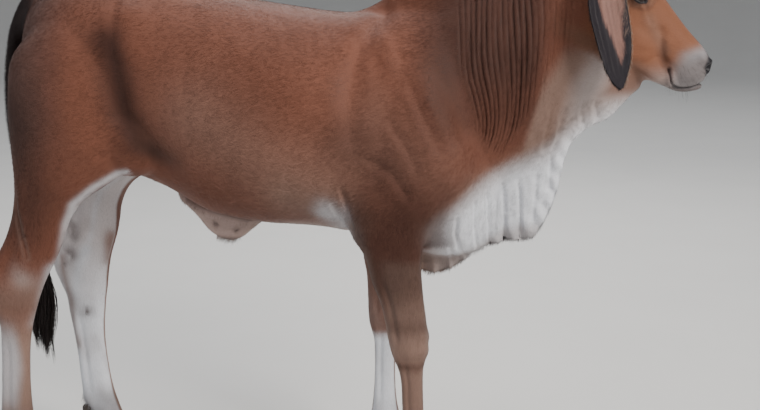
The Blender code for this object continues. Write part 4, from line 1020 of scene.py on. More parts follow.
def paint_body(painter):
    """Flank, neck, rump, throat, dewlap, belly and sheath; gives the sheath's mask."""
    x, _, z = painter.points.T
    red, dark, tan, pale, _, grey, _, pink = painter.paints
    lay, near, outer, wave, fine = painter.lay, painter.near, painter.outer, painter.wave, painter.fine
    off_head = 1 - head_share(painter.points)
    # flank hollow, dark hair with painted shade in the hollow, the line before the stifle, and the dark band over
    # the elbow, partly painted shade
    lay(dark, 0.96 * near(0.046, *CREASES[0][0]) * step_up(z, 0.8, 0.88) * step_up(outer, 0.06, 0.12))
    lay(dark, 0.22 * near(0.05, (-0.46, 0.79), (-0.3, 0.72), (-0.12, 0.7)))
    lay(dark, 0.52 * near(0.07, (-0.04, 0.9), (0.06, 0.83), (0.09, 0.74), (0.07, 0.6)))
    # neck, top line, rump and the light middle of the barrel; the darker neck, rump and thigh's rear edge are partly
    # painted shade, and the barrel's light middle is painted light
    neck = step_up(x, 0.05, 0.18) * step_up(z, 0.84, 0.98) * step_down(x, 0.37, 0.45)
    lay(dark, neck * (0.6 + 0.26 * step_up(z, 0.96, 1.1)) * off_head)
    lay(dark, 0.3 * step_up(z, 1.2, 1.32) * off_head)
    lay(dark * 0.95 + grey * 0.12, 0.76 * (step_up(-x, 0.69, 0.86) * step_up(z, 0.78, 0.95)))
    lay(dark, 0.66 * near(0.075, (-0.9, 0.95), (-0.86, 0.84), (-0.84, 0.76), (-0.87, 0.68)))
    # painted light: the middle of the barrel is lightened
    barrel = near(0.1, (-0.4, 0.96), (-0.25, 0.86), (-0.1, 0.8))
    lay(tan * 0.62 + red * 0.55, 0.5 * barrel * step_up(outer, 0.1, 0.2))
    # tan throat and white dewlap, kept off the forelegs
    edge = np.interp(x, *THROAT_EDGE)
    off_leg = 1 - step_up(outer, 0.068, 0.09) * step_down(z, 0.63, 0.74) * step_down(x, 0.118, 0.15)
    throat = step_up(edge - z + wave, -0.03, 0.045) * step_up(x, 0.08, 0.17) * off_leg
    lay(tan * 0.62 + red * 0.25, throat)
    front = np.interp(z, *THROAT_FRONT)
    lay(tan * 0.75 + pale * 0.2, throat * step_up(x - front + wave, -0.02, 0.055))
    white = step_up(np.interp(x, *WHITE_EDGE) - z + wave, -0.045, 0.05) * step_up(x, 0.09, 0.19) * off_leg
    lay(pale, white)
    hem = np.interp(x, *HEM)
    hem = step_down(z + 0.8 * wave, hem + 0.002, hem + 0.034) * step_up(x, 0.0, 0.05)
    lay(tan * 0.72 + red * 0.06, (0.8 - 0.32 * step_up(x, 0.19, 0.25)) * hem)
    brisket = hump_of(np.hypot(x - 0.135, (z - 0.665) * 0.8) + 0.4 * wave, 0.06)
    lay(tan * 0.85 + grey * 0.15, 0.5 * white * brisket)
    shoulder = near(0.085, (0.02, 0.96), (0.1, 0.88), (0.2, 0.8))
    lay(tan * 0.35 + dark * 0.75, 0.34 * shoulder * (1 - throat))
    # belly, and the white patch behind the elbow
    belly = step_up(np.interp(x, *BELLY_EDGE) - z + wave, -0.02, 0.022) * step_up(-x, -0.12, -0.02)
    belly = belly * step_down(-x, 0.58, 0.66) * (1 - step_up(x, -0.09, -0.04) * step_up(outer, 0.06, 0.085))
    lay(tan * 0.9 + pale * 0.15, 0.75 * belly * step_up(z, 0.6, 0.64))
    behind = near(0.055, (-0.2, 0.775), (-0.11, 0.75), (-0.07, 0.72))
    lay(tan * 0.9, 0.42 * behind * step_up(outer, 0.06, 0.1))
    gap, _ = to_path(x, z, ((-0.105, 0.735), (-0.075, 0.715), (-0.06, 0.68)))
    lay(pale * 0.72 + tan * 0.1, 0.72 * hump_of(gap + 0.006 * fine, 0.03) * step_up(outer, 0.06, 0.1))
    # sheath: pink below a dark line, which is painted shade along the underside of the belly, with two spots
    line = np.interp(x, *SHEATH_LINE)
    sheath = step_up(line - z, -0.004, 0.01) * step_up(x, -0.53, -0.49) * step_down(x, -0.31, -0.27)
    sheath = sheath * step_down(outer, 0.038, 0.055)
    lay(tan * 0.85 + pink * 0.35 + pale * 0.12, sheath)
    # painted shade: a dark line along the underside of the belly
    gap = np.abs(z - line - 0.012) * (1 + 40 * (outer < 0.02))
    lay(dark, 0.55 * hump_of(gap, 0.012) * step_up(-x, 0.1, 0.24) * step_down(-x, 0.48, 0.54))
    lay(dark * 0.8, 0.75 * sheath * step_down(z, 0.624, 0.64))
    first, second = (hump_of(np.hypot(x + a, z - b), width) for a, b, width in SHEATH_SPOTS)
    lay(dark * 0.5, 0.85 * np.maximum(first, second) * sheath)
    return sheath


def paint_legs(painter):
    """White inner sides, pale edges, darker joints and pasterns, painted light and shade at the knees, and the tail;
    gives the masks hind and tail.
    """
    x, y, z = painter.points.T
    red, dark, tan, pale, _, grey, black, _ = painter.paints
    lay, near, outer, blotch, fine = painter.lay, painter.near, painter.outer, painter.blotch, painter.fine
    along, inward = painter.normals[:, 0], np.sign(y) * painter.normals[:, 1]
    hind = step_up(-x, 0.5, 0.56) * step_down(z, 0.84, 0.95)
    fore = step_up(x, -0.16, -0.06) * step_down(z, 0.6, 0.68) * step_down(x, 0.2, 0.24)
    inside = step_up(-inward + 0.12 * blotch, 0.08, 0.46)
    outside = 1 - inside
    # inner sides; on the forelegs, brown above the edge of a painted shadow near the knee and white below it
    lay(pale * 0.95, hind * inside)
    lay(pale * 0.42 + tan * 0.78, 0.85 * hind * inside * step_up(z + 0.03 * blotch, 0.38, 0.6))
    # painted shade: the forelegs' inner sides are brown above the shadow's edge near the knee
    lay(red * 0.55 + tan * 0.22 + grey * 0.15, fore * inside)
    lay(pale * 0.92, fore * inside * step_down(z + 0.02 * blotch, 0.325, 0.37))
    # hind cannon: tan, white behind
    lower = hind * step_down(z, 0.36, 0.5)
    lay(tan * 1.05, 0.72 * lower * outside)
    behind = step_up(-x + 0.01 * blotch, 0.9, 0.93) * step_down(z + 0.03 * blotch, 0.37, 0.47)
    rear = 0.8 * step_up(-along + 0.2 * blotch, 0.25, 0.75) * step_down(z, 0.4, 0.48)
    behind = np.maximum(behind * step_up(z, 0.15, 0.25), rear)
    lay(pale * 0.66 + tan * 0.1, 0.66 * lower * behind)
    # hind leg: pale front edge, point of the hock, brown rear edge, dirt
    lay(pale * 0.7 + tan * 0.25, 0.8 * near(0.0085, *HIND_EDGE) * hind)
    lay(pale * 0.82, 0.88 * near(0.017, (-0.81, 0.56), (-0.836, 0.493), (-0.856, 0.42)) * hind)
    hock = hump_of(np.hypot(x + 0.885, z - 0.543) + 0.01 * fine, 0.032)
    lay(tan * 0.8 + pale * 0.15, 0.68 * hock * hind * outside)
    hock = hump_of(np.hypot(x + 0.885, (z - 0.482) * 1.2) + 0.01 * fine, 0.036)
    lay(red * 0.75, 0.72 * hock * hind * outside)
    gap, _ = to_path(x, z, ((-0.88, 0.54), (-0.866, 0.4), (-0.85, 0.29)))
    lay(red * 0.5 + tan * 0.4, 0.62 * hump_of(gap + 0.004 * fine, 0.012) * hind * inside)
    dirt = step_up(ripple(painter.points, 70, 12) + 0.4 * blotch + 0.3 * fine, 0.0, 1.0)
    lay(tan * 0.5 + grey * 0.4, 0.24 * dirt * (hind + fore) * inside)
    lay(tan * 0.85, 0.45 * (hind * hump_of(z - 0.49, 0.05) * outside))
    gap, _ = to_path(x, z, CREASES[2][0])
    lay(tan, 0.22 * hump_of(gap - 0.007, 0.005) * hind * outside)
    # darker patches: x, z, stretch in height, half width, strength
    dark_patch = 0
    for a, b, stretch, width, strength in DARK_PATCHES:
        dark_patch = np.maximum(dark_patch, strength * hump_of(np.hypot(x + a, (z - b) * stretch), width))
    grain = step_up(fine + ripple(painter.points, 150, 11) + 1.3, 0.0, 1.4)
    lay(dark * 0.8 + grey * 0.25, 0.95 * dark_patch * inside * hind * grain)
    lay(red * 0.7 + tan * 0.35, 0.8 * near(0.018, (-0.742, 0.6), (-0.75, 0.53)) * inside * hind)
    # foreleg: a dark band over the knee and a light band on it, painted shade and light on either side of a shadow's
    # edge, a dark band under the knee that is painted shade, the strip behind, the shin, and the dark upper part,
    # partly painted shade
    lay(dark, 0.45 * fore * hump_of(z - 0.45, 0.022) * outside)
    lay(tan * 0.7 + red * 0.3, 0.75 * fore * hump_of(z - 0.402, 0.026) * outside)
    lay(dark * 1.2, 0.8 * fore * hump_of(z - 0.35, 0.012) * outside)
    lay(tan * 1.05, 0.75 * near(0.014, *FORELEG_STRIP) * step_up(outer, 0.08, 0.1) * outside)
    lay(tan * 0.55 + red * 0.4, 0.4 * (fore * step_down(z, 0.3, 0.42) * outside))
    upper = step_up(x, -0.1, -0.02) * step_up(z, 0.44, 0.56) * step_down(z, 0.72, 0.86) * step_down(x, 0.16, 0.22)
    # partly painted shade: the upper foreleg is darkened on its outer side
    lay(dark, 0.66 * upper * outside * step_up(outer, 0.08, 0.1))
    # fetlocks, higher on the near hind leg, coronets and tail
    rise = np.where((y < 0) & (x < -0.3), 0.045, 0.0)
    fetlock = step_down(z - rise, 0.13, 0.19) * (hind + fore > 0.01)
    lay(dark * 0.8, 0.55 * fetlock * step_up(blotch + 0.6, 0.0, 0.9))
    lay(black * 2.2, 0.85 * (step_down(z, CORONET + 0.006, CORONET + 0.022) * (z > 0)))
    tail = tail_share(painter.points)
    lay(dark * 0.25 + black * 0.8, 0.95 * tail)
    return hind, tail


def paint_head(painter):
    """Face, lids, jaw, muzzle, nose and lips; gives the masks head, nose, lips and rim."""
    z, wave, blotch, fine, lay = painter.points[:, 2], painter.wave, painter.blotch, painter.fine, painter.lay
    red, dark, tan, pale, face, grey, black, _ = painter.paints
    head = head_share(painter.points)
    along, sideways, up = to_head(painter.points)
    aside = np.abs(sideways)
    throat = step_up(-up + wave, 0.158, 0.182) * step_down(along, 0.13, 0.18)
    lay(face, head * step_up(z, 1.02, 1.1) * (1 - throat) * step_up(along, 0.0, 0.07))
    lay(red * 0.8 + face * 0.1, head * hump_of(along + 0.02, 0.06) * step_up(up, 0.0, 0.05))
    # a light ring round the eye, a dark line in it that is painted shade in the lid's fold, and the lids' black rim
    eye_gap, _ = lid_gap(along, up)
    lay(tan * 0.9, 0.5 * (head * hump_of(np.maximum(eye_gap, 0), 0.016) * step_up(aside, 0.04, 0.055)))
    lay(face * 0.55, 0.5 * head * hump_of(eye_gap - 0.0085, 0.003) * step_up(aside, 0.05, 0.06))
    rim = head * step_down(eye_gap, 0.0042, 0.0072) * step_up(aside, 0.055, 0.065)
    lay(black * 1.6, rim)
    # dark below the jaw, a painted highlight on the facial crest, grey muzzle whose lighter start is a painted
    # highlight, and painted shade in the furrow
    under_jaw = head * step_up(-up - 0.118 + wave, 0.0, 0.03) * step_down(along, 0.21, 0.26) * (1 - throat)
    lay(face * 0.5 + tan * 0.16, 0.85 * under_jaw)
    # painted highlight along the facial crest
    crest, _ = to_path(along, up, ((0.15, -0.03), (0.2, -0.06), (0.225, -0.075)))
    lay(tan, 0.26 * head * hump_of(crest, 0.015) * step_up(aside, 0.02, 0.03))
    start = np.interp(up, *MUZZLE_START)
    lay(grey, 0.92 * (head * step_up(along - start + 0.01 * blotch, -0.014, 0.032)))
    # painted highlight: the top of the muzzle's start is lightened
    lay(pale * 0.44, 0.3 * head * hump_of(along - start - 0.022, 0.02) * step_up(up, -0.09, -0.05))
    # painted shade in the furrow down to the mouth's corner
    furrow, _ = to_path(along, up, FURROW)
    lay(dark, 0.62 * head * hump_of(furrow, 0.012) * step_up(aside, 0.02, 0.03) * step_up(along, 0.196, 0.236))
    # black nose plate and nostrils with painted shade deep inside them, lips with painted shade along the mouth
    # line, and painted shade below the lips
    nose = head * step_up(along + 0.2 * (up + 0.06) + 0.0025 * fine, 0.317, 0.327)
    nose = nose * step_down(-up, 0.092, 0.098)
    plate = np.interp(up, *NOSE_PLATE)
    nose = nose * step_down(aside + 0.002 * fine, plate - 0.001, plate + 0.004)
    q = reach_of(along, sideways, up, NOSTRIL_AT, NOSTRIL)
    nose = np.maximum(nose, head * step_down(q + 0.08 * fine, 1.2, 1.55))
    lay(black * 1.5, nose)
    # painted shade deep in the nostrils
    lay(black * 0.4, head * step_down(q, 0.55, 0.85))
    mouth, _ = to_path(along, up, curve_through(MOUTH_LINE, 0.004))
    lips = head * step_up(along, 0.2, 0.24) * hump_of(mouth, 0.0034)
    under_lip = np.interp(along, *np.array(MOUTH_LINE).T) - up
    under_lip = step_up(along, 0.25, 0.275) * step_up(under_lip, 0.001, 0.009)
    # painted shade below the lips, on the lower lip and chin
    lay(grey * 0.55 + face * 0.16, 0.65 * head * under_lip)
    # painted shade along the mouth's crease
    lay(black * 3.2, 0.55 * lips)
    return head, nose, lips, rim


def paint_ears(painter):
    """Black ears with a pink strip in the cup and a faint sheen of hair; gives the masks on and strip."""
    blotch, fine, lay = painter.blotch, painter.fine, painter.lay
    red, _, _, _, _, grey, black, pink = painter.paints
    on, along, across, inner = ear_place(painter.points)
    # black with a faint blue cast, a painted sheen
    lay(red * 0.03 + black * 1.1 + (0.002, 0.003, 0.006), on)
    half = np.interp(along, *EAR_STRIP)
    middle = np.interp(along, (0.25, 0.5, 0.8), (0.64, 0.67, 0.7))
    vein = (0.5 + 0.5 * np.sin(across * 46 + 1.5 * blotch)) ** 4
    strip = step_down(np.abs(across - middle) + 0.02 * fine, half - 0.045, half + 0.02)
    strip = on * inner * strip * (half > 0)
    pink = pink * (1 - 0.3 * vein)[:, None]
    painter.colour = painter.colour + (pink - painter.colour) * (0.95 * strip)[:, None]
    sheen = (0.5 + 0.5 * np.sin(across * 34 + 2.0 * blotch)) ** 6
    lay(grey * 0.45, 0.3 * (on * sheen * (1 - strip) * step_down(along, 0.78, 0.95)))
    return on, strip


def hide_colours(points, normals, look):
    """Colour, bareness and streak direction at points of the hide."""
    painter = Painter(points, normals, look)
    sheath = paint_body(painter)
    hind, tail = paint_legs(painter)
    head, nose, lips, rim = paint_head(painter)
    on, strip = paint_ears(painter)
    # painted shade: the tint is darkened in the neck wrinkles' valleys
    valley = wrinkle_push(points, 1.0, look.wrinkles) * (1 - head)
    colour = painter.colour * (1 - 0.5 * np.clip(valley, 0, 1))[:, None]
    colour = colour * (1 + 0.085 * painter.blotch + 0.035 * painter.fine)[:, None]
    bare = np.clip(np.maximum.reduce([nose, lips * 0.8, rim, 0.35 * strip, 0.5 * sheath]), 0, 1)
    lie = np.clip(np.maximum.reduce([leg_share(points), hind, 0.8 * on, tail]), 0, 1)
    return np.clip(colour, 0.002, 1), bare, lie


def build_skin(look, radius):
    """The whole hide as one closed mesh."""
    obj = add_object("hide", flesh_mesh())
    melt = obj.modifiers.new("melt", "REMESH")
    melt.mode = "VOXEL"
    melt.voxel_size = look.voxel
    settle(obj)
    points = points_of(obj.data)
    smooth_by(obj, np.ones(len(points)), 20)
    head, leg = head_share(points), leg_share(points)
    smooth_by(obj, np.clip(1 - head, 0, 1) * (1 - 0.72 * leg), 84)
    points = points_of(obj.data)
    smooth_by(obj, 1.4 * hump_of(np.hypot(points[:, 0] - 0.632, points[:, 2] - 1.03), 0.034), 90)
    points, normals = points_of(obj.data), normals_of(obj.data)
    place_points(obj.data, points - normals * look.depth * (1 - 0.4 * head_share(points))[:, None])
    centres = vectors_of(obj.data.polygons, "center")
    along, _, _ = to_head(centres)
    dressed = (along > 0.02) & (head_share(centres) > 0.6)
    wrinkled = (centres[:, 0] > 0.19) & (centres[:, 0] < 0.43) & (centres[:, 2] > 0.86) & (centres[:, 2] < 1.33)
    refine(obj.data, np.flatnonzero(dressed | wrinkled))
    centres = vectors_of(obj.data.polygons, "center")
    along, sideways, up = to_head(centres)
    at_eye = (np.hypot(along - EYE_AT[0], up - EYE_AT[2]) < 0.034) & (np.abs(sideways) > 0.055)
    at_mouth = (along > 0.205) & (head_share(centres) > 0.6)
    refine(obj.data, np.flatnonzero(at_eye | at_mouth))
    points, normals = points_of(obj.data), normals_of(obj.data)
    push = head_creases(points) * step_up(head_share(points), 0.2, 0.8)
    push += body_creases(points, normals)
    push += wrinkle_push(points, look.wrinkle, look.wrinkles) * (1 - head_share(points))
    points = shape_lids(points - normals * push[:, None], radius)
    place_points(obj.data, points)
    for _, side in SIDES:
        combine(obj, loft("ear", ear_sections(side)), "UNION")
    cut_at_coronets(obj)
    points = points_of(obj.data)
    blendin = np.zeros(len(points))
    for _, side in SIDES:
        root = np.array(EAR_ROOT) * (1, side, 1)
        blendin = np.maximum(blendin, hump_of(np.linalg.norm(points - root, axis=1), 0.022))
    smooth_by(obj, np.clip(blendin * 1.3, 0, 1) * (blendin > 0.15), 8)
    points = points_of(obj.data)
    along, sideways, up = to_head(points)
    at_eye = hump_of(np.hypot(along - EYE_AT[0], up - EYE_AT[2]), 0.03) * (np.abs(sideways) > 0.05)
    keep = head_share(points) * (0.2 + 0.4 * step_up(along, 0.19, 0.24)) + 0.6 * at_eye
    keep = keep + 0.25 * (ear_place(points)[0] > 0.2)
    thinned(obj, keep, look.triangles)
    mesh = obj.data
    points, normals = points_of(mesh), normals_of(mesh)
    colours, bare, lie = hide_colours(points, normals, look)
    set_colour(mesh, "tint", colours)
    set_value(mesh, "bare", bare)
    set_value(mesh, "lie", lie)
    place_points(mesh, points + (SHIFT, 0, 0))
    mesh.shade_smooth()
    return obj


# Materials


class Signal:
    """A shader socket that takes part in sums and products."""

    def __init__(self, finish, socket):
        self.finish = finish
        self.socket = socket

    def math(self, operation, first, second):
        return self.finish.node("ShaderNodeMath", {"operation": operation}, {0: first, 1: second})

    def __add__(self, other):
        return self.math("ADD", self, other)

    def __radd__(self, other):
        return self.math("ADD", other, self)

    def __sub__(self, other):
        return self.math("SUBTRACT", self, other)

    def __rsub__(self, other):
        return self.math("SUBTRACT", other, self)

    def __mul__(self, other):
        return self.math("MULTIPLY", self, other)

    def __rmul__(self, other):
        return self.math("MULTIPLY", other, self)


class Finish:
    """A material put together from expressions."""

    def __init__(self, name, constants):
        self.material = bpy.data.materials.new(name)
        self.material.use_nodes = True
        self.tree = self.material.node_tree
        self.tree.nodes.clear()
        self.output = self.tree.nodes.new("ShaderNodeOutputMaterial")
        self.shader = self.tree.nodes.new("ShaderNodeBsdfPrincipled")
        self.tree.links.new(self.shader.outputs[0], self.output.inputs[0])
        for socket, value in constants.items():
            self.shader.inputs[socket].default_value = value

    def node(self, kind, settings=None, sockets=None, output=0):
        """Adds a node: its settings first, then the value or link of each socket."""
        node = self.tree.nodes.new(kind)
        for key, value in (settings or {}).items():
            setattr(node, key, value)
        for key, value in (sockets or {}).items():
            self.set(node.inputs[key], value)
        return Signal(self, node.outputs[output])

    def set(self, socket, value):
        """Links a signal to a socket, or gives it a value."""
        if isinstance(value, Signal):
            self.tree.links.new(value.socket, socket)
        else:
            socket.default_value = value

    def surface(self, colour, roughness=None):
        """Feeds the shader's colour and roughness."""
        self.set(self.shader.inputs["Base Color"], colour)
        if roughness is not None:
            self.set(self.shader.inputs["Roughness"], roughness)

    def shaded(self, colour, share):
        """A colour times a number."""
        return self.mix(1.0, colour, self.grey(share), "MULTIPLY")

    def place(self, scale):
        """Object coordinates, scaled on each axis."""
        coordinates = self.node("ShaderNodeTexCoord", output="Object")
        return self.node("ShaderNodeMapping", None, {"Vector": coordinates, "Scale": scale})

    def noise(self, scale, detail=2.0, stretch=(1, 1, 1)):
        """Noise from 0 to 1 at so many waves a metre."""
        return self.node(
            "ShaderNodeTexNoise", None, {"Vector": self.place(stretch), "Scale": scale, "Detail": detail}, "Fac"
        )

    def cells(self, scale):
        """Distance to the nearest of scattered points."""
        place = self.place((1, 1, 1))
        return self.node("ShaderNodeTexVoronoi", None, {"Vector": place, "Scale": scale}, "Distance")

    def attribute(self, name, output):
        """A mesh's own attribute, its colour or its number."""
        return self.node("ShaderNodeAttribute", {"attribute_name": name}, output=output)

    def mix(self, share, first, second, how="MIX"):
        """Two colours mixed."""
        return self.node(
            "ShaderNodeMix", {"data_type": "RGBA", "blend_type": how}, {0: share, 6: first, 7: second}, 2
        )

    def lerp(self, share, first, second):
        """Two numbers mixed."""
        return self.node("ShaderNodeMix", {"data_type": "FLOAT"}, {0: share, 2: first, 3: second}, 0)

    def grey(self, value):
        """A number as a colour."""
        return self.node("ShaderNodeCombineColor", None, {0: value, 1: value, 2: value})

    def bump(self, height, strength, distance):
        """Feeds the shader's normal."""
        bumped = self.node("ShaderNodeBump", None, {"Height": height, "Strength": strength, "Distance": distance})
        self.set(self.shader.inputs["Normal"], bumped)


def colour4(colour, factor=1.0):
    """A colour for a socket, made lighter or darker."""
    return (*(np.array(colour) * factor), 1.0)


def hide_finish():
    """Short coat: the skin's own colours under hair streaks that run with the lie of the coat."""
    finish = Finish("hide_coat", {"Specular IOR Level": 0.22, "Sheen Weight": 0.05, "Sheen Roughness": 0.45})
    tint = finish.attribute("tint", "Color")
    bare = finish.attribute("bare", "Fac")
    lie = finish.attribute("lie", "Fac")
    back = finish.noise(30, 3.0, (2.2, 22, 14))
    down = finish.noise(30, 3.0, (22, 22, 2.2))
    streak = finish.lerp(lie, back, down)
    fine = finish.noise(420, 2.0)
    patch = finish.noise(34, 3.0)
    shade = 0.7 + streak * 0.4 + fine * 0.12 + patch * 0.1
    rough = finish.lerp(bare, 0.54 + streak * 0.22, 0.34 + fine * 0.14)
    finish.surface(finish.shaded(tint, shade), rough)
    cobble = finish.cells(330)
    height = finish.lerp(bare, streak * 0.75 + fine * 0.35, cobble * 0.9 + fine * 0.3)
    finish.bump(height, 0.5, 0.0014)
    return finish.material


def tuft_finish(name, roughness):
    """Hair that carries the skin's colour at its root, a little lighter to its tip."""
    finish = Finish(name, {"Specular IOR Level": 0.2})
    tint = finish.attribute("tint", "Color")
    streak = finish.noise(260, 2.0)
    finish.surface(finish.shaded(tint, 0.78 + streak * 0.4), roughness + streak * 0.16)
    return finish.material


def eye_finish(eyes):
    """A wet ball: dark iris with radial threads, a level pupil and a brown rim, from the mesh's own marks."""
    finish = Finish("eye_wet", {"Specular IOR Level": 0.3, "Roughness": 0.09})
    iris = finish.attribute("iris", "Fac")
    pupil = finish.attribute("pupil", "Fac")
    thread = finish.noise(900, 2.0)
    brown = finish.mix(thread, colour4(eyes.iris), colour4(eyes.iris, 2.2))
    white = finish.mix(finish.noise(260, 3.0), colour4(eyes.white), colour4(eyes.white, (0.75, 0.5, 0.42)))
    finish.surface(finish.mix(pupil, finish.mix(iris, white, brown), (0.001, 0.001, 0.0015, 1)))
    return finish.material


def lid_finish():
    """The moist black margin of a lid."""
    finish = Finish("lid_wet", {"Specular IOR Level": 0.6})
    spot = finish.noise(420, 2.0)
    black = finish.mix(spot, (0.01, 0.008, 0.008, 1), (0.04, 0.026, 0.022, 1))
    finish.surface(black, 0.2 + spot * 0.18)
    return finish.material


def horn_finish(horns):
    """Horn: fibres along it, rings across it, dark towards the tip."""
    finish = Finish("horn_polished", {"Specular IOR Level": 0.4})
    tip = finish.attribute("tip", "Fac")
    fibre = finish.noise(60, 3.0, (6, 14, 1.6))
    spot = finish.noise(70, 3.0)
    base = finish.mix(fibre, colour4(horns.horn, 0.72), colour4(horns.horn, 1.35))
    base = finish.mix(tip, base, colour4(horns.tip))
    finish.surface(finish.shaded(base, 0.75 + spot * 0.5), 0.36 + fibre * 0.22)
    finish.bump(fibre * 0.6 + spot * 0.2, 0.45, 0.001)
    return finish.material


def hoof_finish(horns):
    """Hoof wall: dark horn with fine upright tubules, rings and dust near the ground."""
    finish = Finish("hoof_horn", {"Specular IOR Level": 0.35})
    low = finish.attribute("low", "Fac")
    tubule = finish.noise(60, 3.0, (14, 14, 1.2))
    ring = finish.noise(60, 2.0, (0.6, 0.6, 7))
    base = finish.mix(tubule * 0.6 + ring * 0.4, colour4(horns.hoof, 0.6), colour4(horns.hoof, 2.0))
    base = finish.mix(low * 0.45, base, (0.17, 0.135, 0.105, 1))
    finish.surface(base, 0.42 + tubule * 0.25)
    finish.bump(tubule * 0.5 + ring * 0.7, 0.55, 0.0012)
    return finish.material


def floor_finish(stage):
    """Pale studio floor with a faint mottle."""
    finish = Finish("floor_pale", {})
    mottle = finish.noise(3.0, 3.0)
    pale = finish.mix(mottle, colour4(stage.floor, 0.96), colour4(stage.floor, 1.03))
    finish.surface(pale, 0.62 + mottle * 0.1)
    return finish.material


def finish_named(name, make, *values):
    """The material of that name, made the first time it is asked for."""
    return bpy.data.materials.get(name) or make(*values)


def dark_hair():
    """The material of lashes, whiskers and switch."""
    return finish_named("hair_dark", tuft_finish, "hair_dark", 0.34)


def keep_piece(obj, material, slot, *nodes):
    """Gives a piece its material and body, and hides the solids that it stands for; the slot is not used."""
    obj.data.materials.clear()
    obj.data.materials.append(material)
    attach(obj, BODY)
    if nodes:
        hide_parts(*nodes)
    return obj


# Eyes, horns and hooves


def eye_mesh(side, radius):
    """A ball with a low cornea: r = radius * (1 + a bell round the outward pole), marked with iris and pupil."""
    polar = np.linspace(0, math.pi, 60)[:, None]
    angle = (turns(80))[None]
    r = radius * (1 + 0.045 * hump_of(polar, 0.55) - 0.004)
    a, b, out = r * np.sin(polar) * np.cos(angle), r * np.sin(polar) * np.sin(angle), r * np.cos(polar) + 0 * angle
    sections = from_head(EYE_AT[0] + a, side * (EYE_AT[1] + out), EYE_AT[2] + b)
    points, quads, _ = loft_arrays(sections[1:-1])
    rings, count = 58, 80
    poles = np.stack([sections[0, 0], sections[-1, 0]])
    top, end = len(points), len(points) + 1
    j = np.arange(count)
    fans = np.concatenate(
        [
            np.stack([np.full(count, top), (j + 1) % count, j], axis=1),
            np.stack([np.full(count, end), (rings - 1) * count + j, (rings - 1) * count + (j + 1) % count], axis=1),
        ]
    )
    mesh = outward(mesh_of("eye", np.vstack([points, poles]), quads, fans))
    cos, sin = math.cos(LID_SLANT), math.sin(LID_SLANT)
    spread = np.concatenate([np.repeat(polar[1:-1, 0], count), [0, math.pi]])
    turn = np.concatenate([np.tile(angle[0], rings), [0, 0]])
    u, w = np.sin(spread) * np.cos(turn), np.sin(spread) * np.sin(turn)
    u, w = u * cos - w * sin, u * sin + w * cos
    front = spread < math.pi / 2
    set_value(mesh, "iris", step_down(spread, 0.74, 0.84))
    set_value(mesh, "pupil", step_down(np.hypot(u / 0.42, w / 0.2), 0.86, 1.06) * front)
    return shown(mesh)


def horn_mesh(side, ring):
    """A tapered tube whose radius swells by ring * sine every few millimetres, closed by a small dome."""
    rows = curve_through([(x, side * y, z, r) for x, y, z, r in HORN], 0.0016, 3)
    length = path_length(rows[:, :3])
    share = length / length[-1]
    _, across, up = moving_frame(rows[:, :3])
    swell = ring * np.sin(length * 2 * math.pi / 0.0065)
    swell = swell * step_down(share, 0.45, 0.75) * step_up(share, 0.2, 0.3)
    angle = (turns(64))[None, :, None]
    radius = (rows[:, 3] * 0.985 + swell) * np.sqrt(np.clip(1 - step_up(share, 0.965, 1.0) ** 2 * 0.96, 0.04, 1))
    circle = np.cos(angle) * across[:, None] + np.sin(angle) * up[:, None]
    mesh = loft("horn", rows[:, None, :3] + radius[:, None, None] * circle)
    set_value(mesh, "tip", np.repeat(step_up(share, 0.55, 0.85), 64))
    return shown(mesh)


def claw_mesh(hoof, side, share, ahead):
    """One claw: level sections, longest at the ground, narrowed and turned to its neighbour at the toe."""
    front, back, outer, inner = hoof
    half = (outer - inner - CLAW_SPLIT) / 4
    middle = inner + half + share * (2 * half + CLAW_SPLIT)
    levels = np.concatenate([[0.0, 0.0, 0.0016, 0.004], np.linspace(0.007, CORONET - 0.0006, 30)])[:, None]
    inset = np.concatenate([[0.72, 0.96, 0.985, 0.995], np.ones(30)])[:, None]
    swell = np.interp(levels, (0.0, 0.008, 0.03, CORONET), (0.93, 1.0, 0.98, 0.92))
    swell = swell * (1 + 0.006 * np.sin(levels * 2 * math.pi / 0.0085)) * inset
    angle = (turns(72))[None]
    cos, sin = np.cos(angle), np.sin(angle)
    toe = front - TOE_SLOPE * levels - (1 - inset) * 0.02
    heel = back + HEEL_SLOPE * levels + (1 - inset) * 0.02
    near_toe = np.clip(cos, 0, 1) ** 2
    x = ahead + (toe + heel) / 2 + (toe - heel) / 2 * np.sign(cos) * np.abs(cos) ** 0.85
    width = half * swell * (1 - TOE_NARROW * near_toe)
    y = middle + (0.5 - share) * TOE_TURN * near_toe + width * np.sign(sin) * np.abs(sin) ** 0.8
    mesh = loft("claw", np.stack([x, side * y, levels + 0 * x], axis=2))
    return mesh, np.repeat(step_down(levels[:, 0], 0.004, 0.024), 72)


def leg_back(rows, height):
    """x of a leg's back and the distance of its middle from the middle plane at a height."""
    table = np.array(rows)[::-1]
    middle = (table[:, 3] + table[:, 4]) / 2
    return np.interp(height, table[:, 0], table[:, 2]), np.interp(height, table[:, 0], middle)


def dewclaw_mesh(rows, side, share, ahead):
    """A blunt cone: an ellipsoid whose lower end is drawn out and flattened behind."""
    back, middle = leg_back(rows, DEWCLAW_HEIGHT)
    centre = (back + ahead, side * (middle + (share - 0.5) * DEWCLAW_APART), DEWCLAW_HEIGHT)
    sections = ellipsoid_sections((0, 0, 0), [size * 0.97 for size in DEWCLAW], 0.0, 48)
    low = np.clip(-sections[..., 2:] / DEWCLAW[2], 0, 1)
    sections = sections * np.concatenate([1 - 0.28 * low, 1 - 0.22 * low, 1 + 0 * low], axis=2)
    pitch = math.radians(25)
    x, y, z = np.moveaxis(sections, 2, 0)
    x, z = math.cos(pitch) * x + math.sin(pitch) * z, -math.sin(pitch) * x + math.cos(pitch) * z
    return loft("dewclaw", np.stack([x + centre[0], y + centre[1], z + centre[2]], axis=2))


# Coat


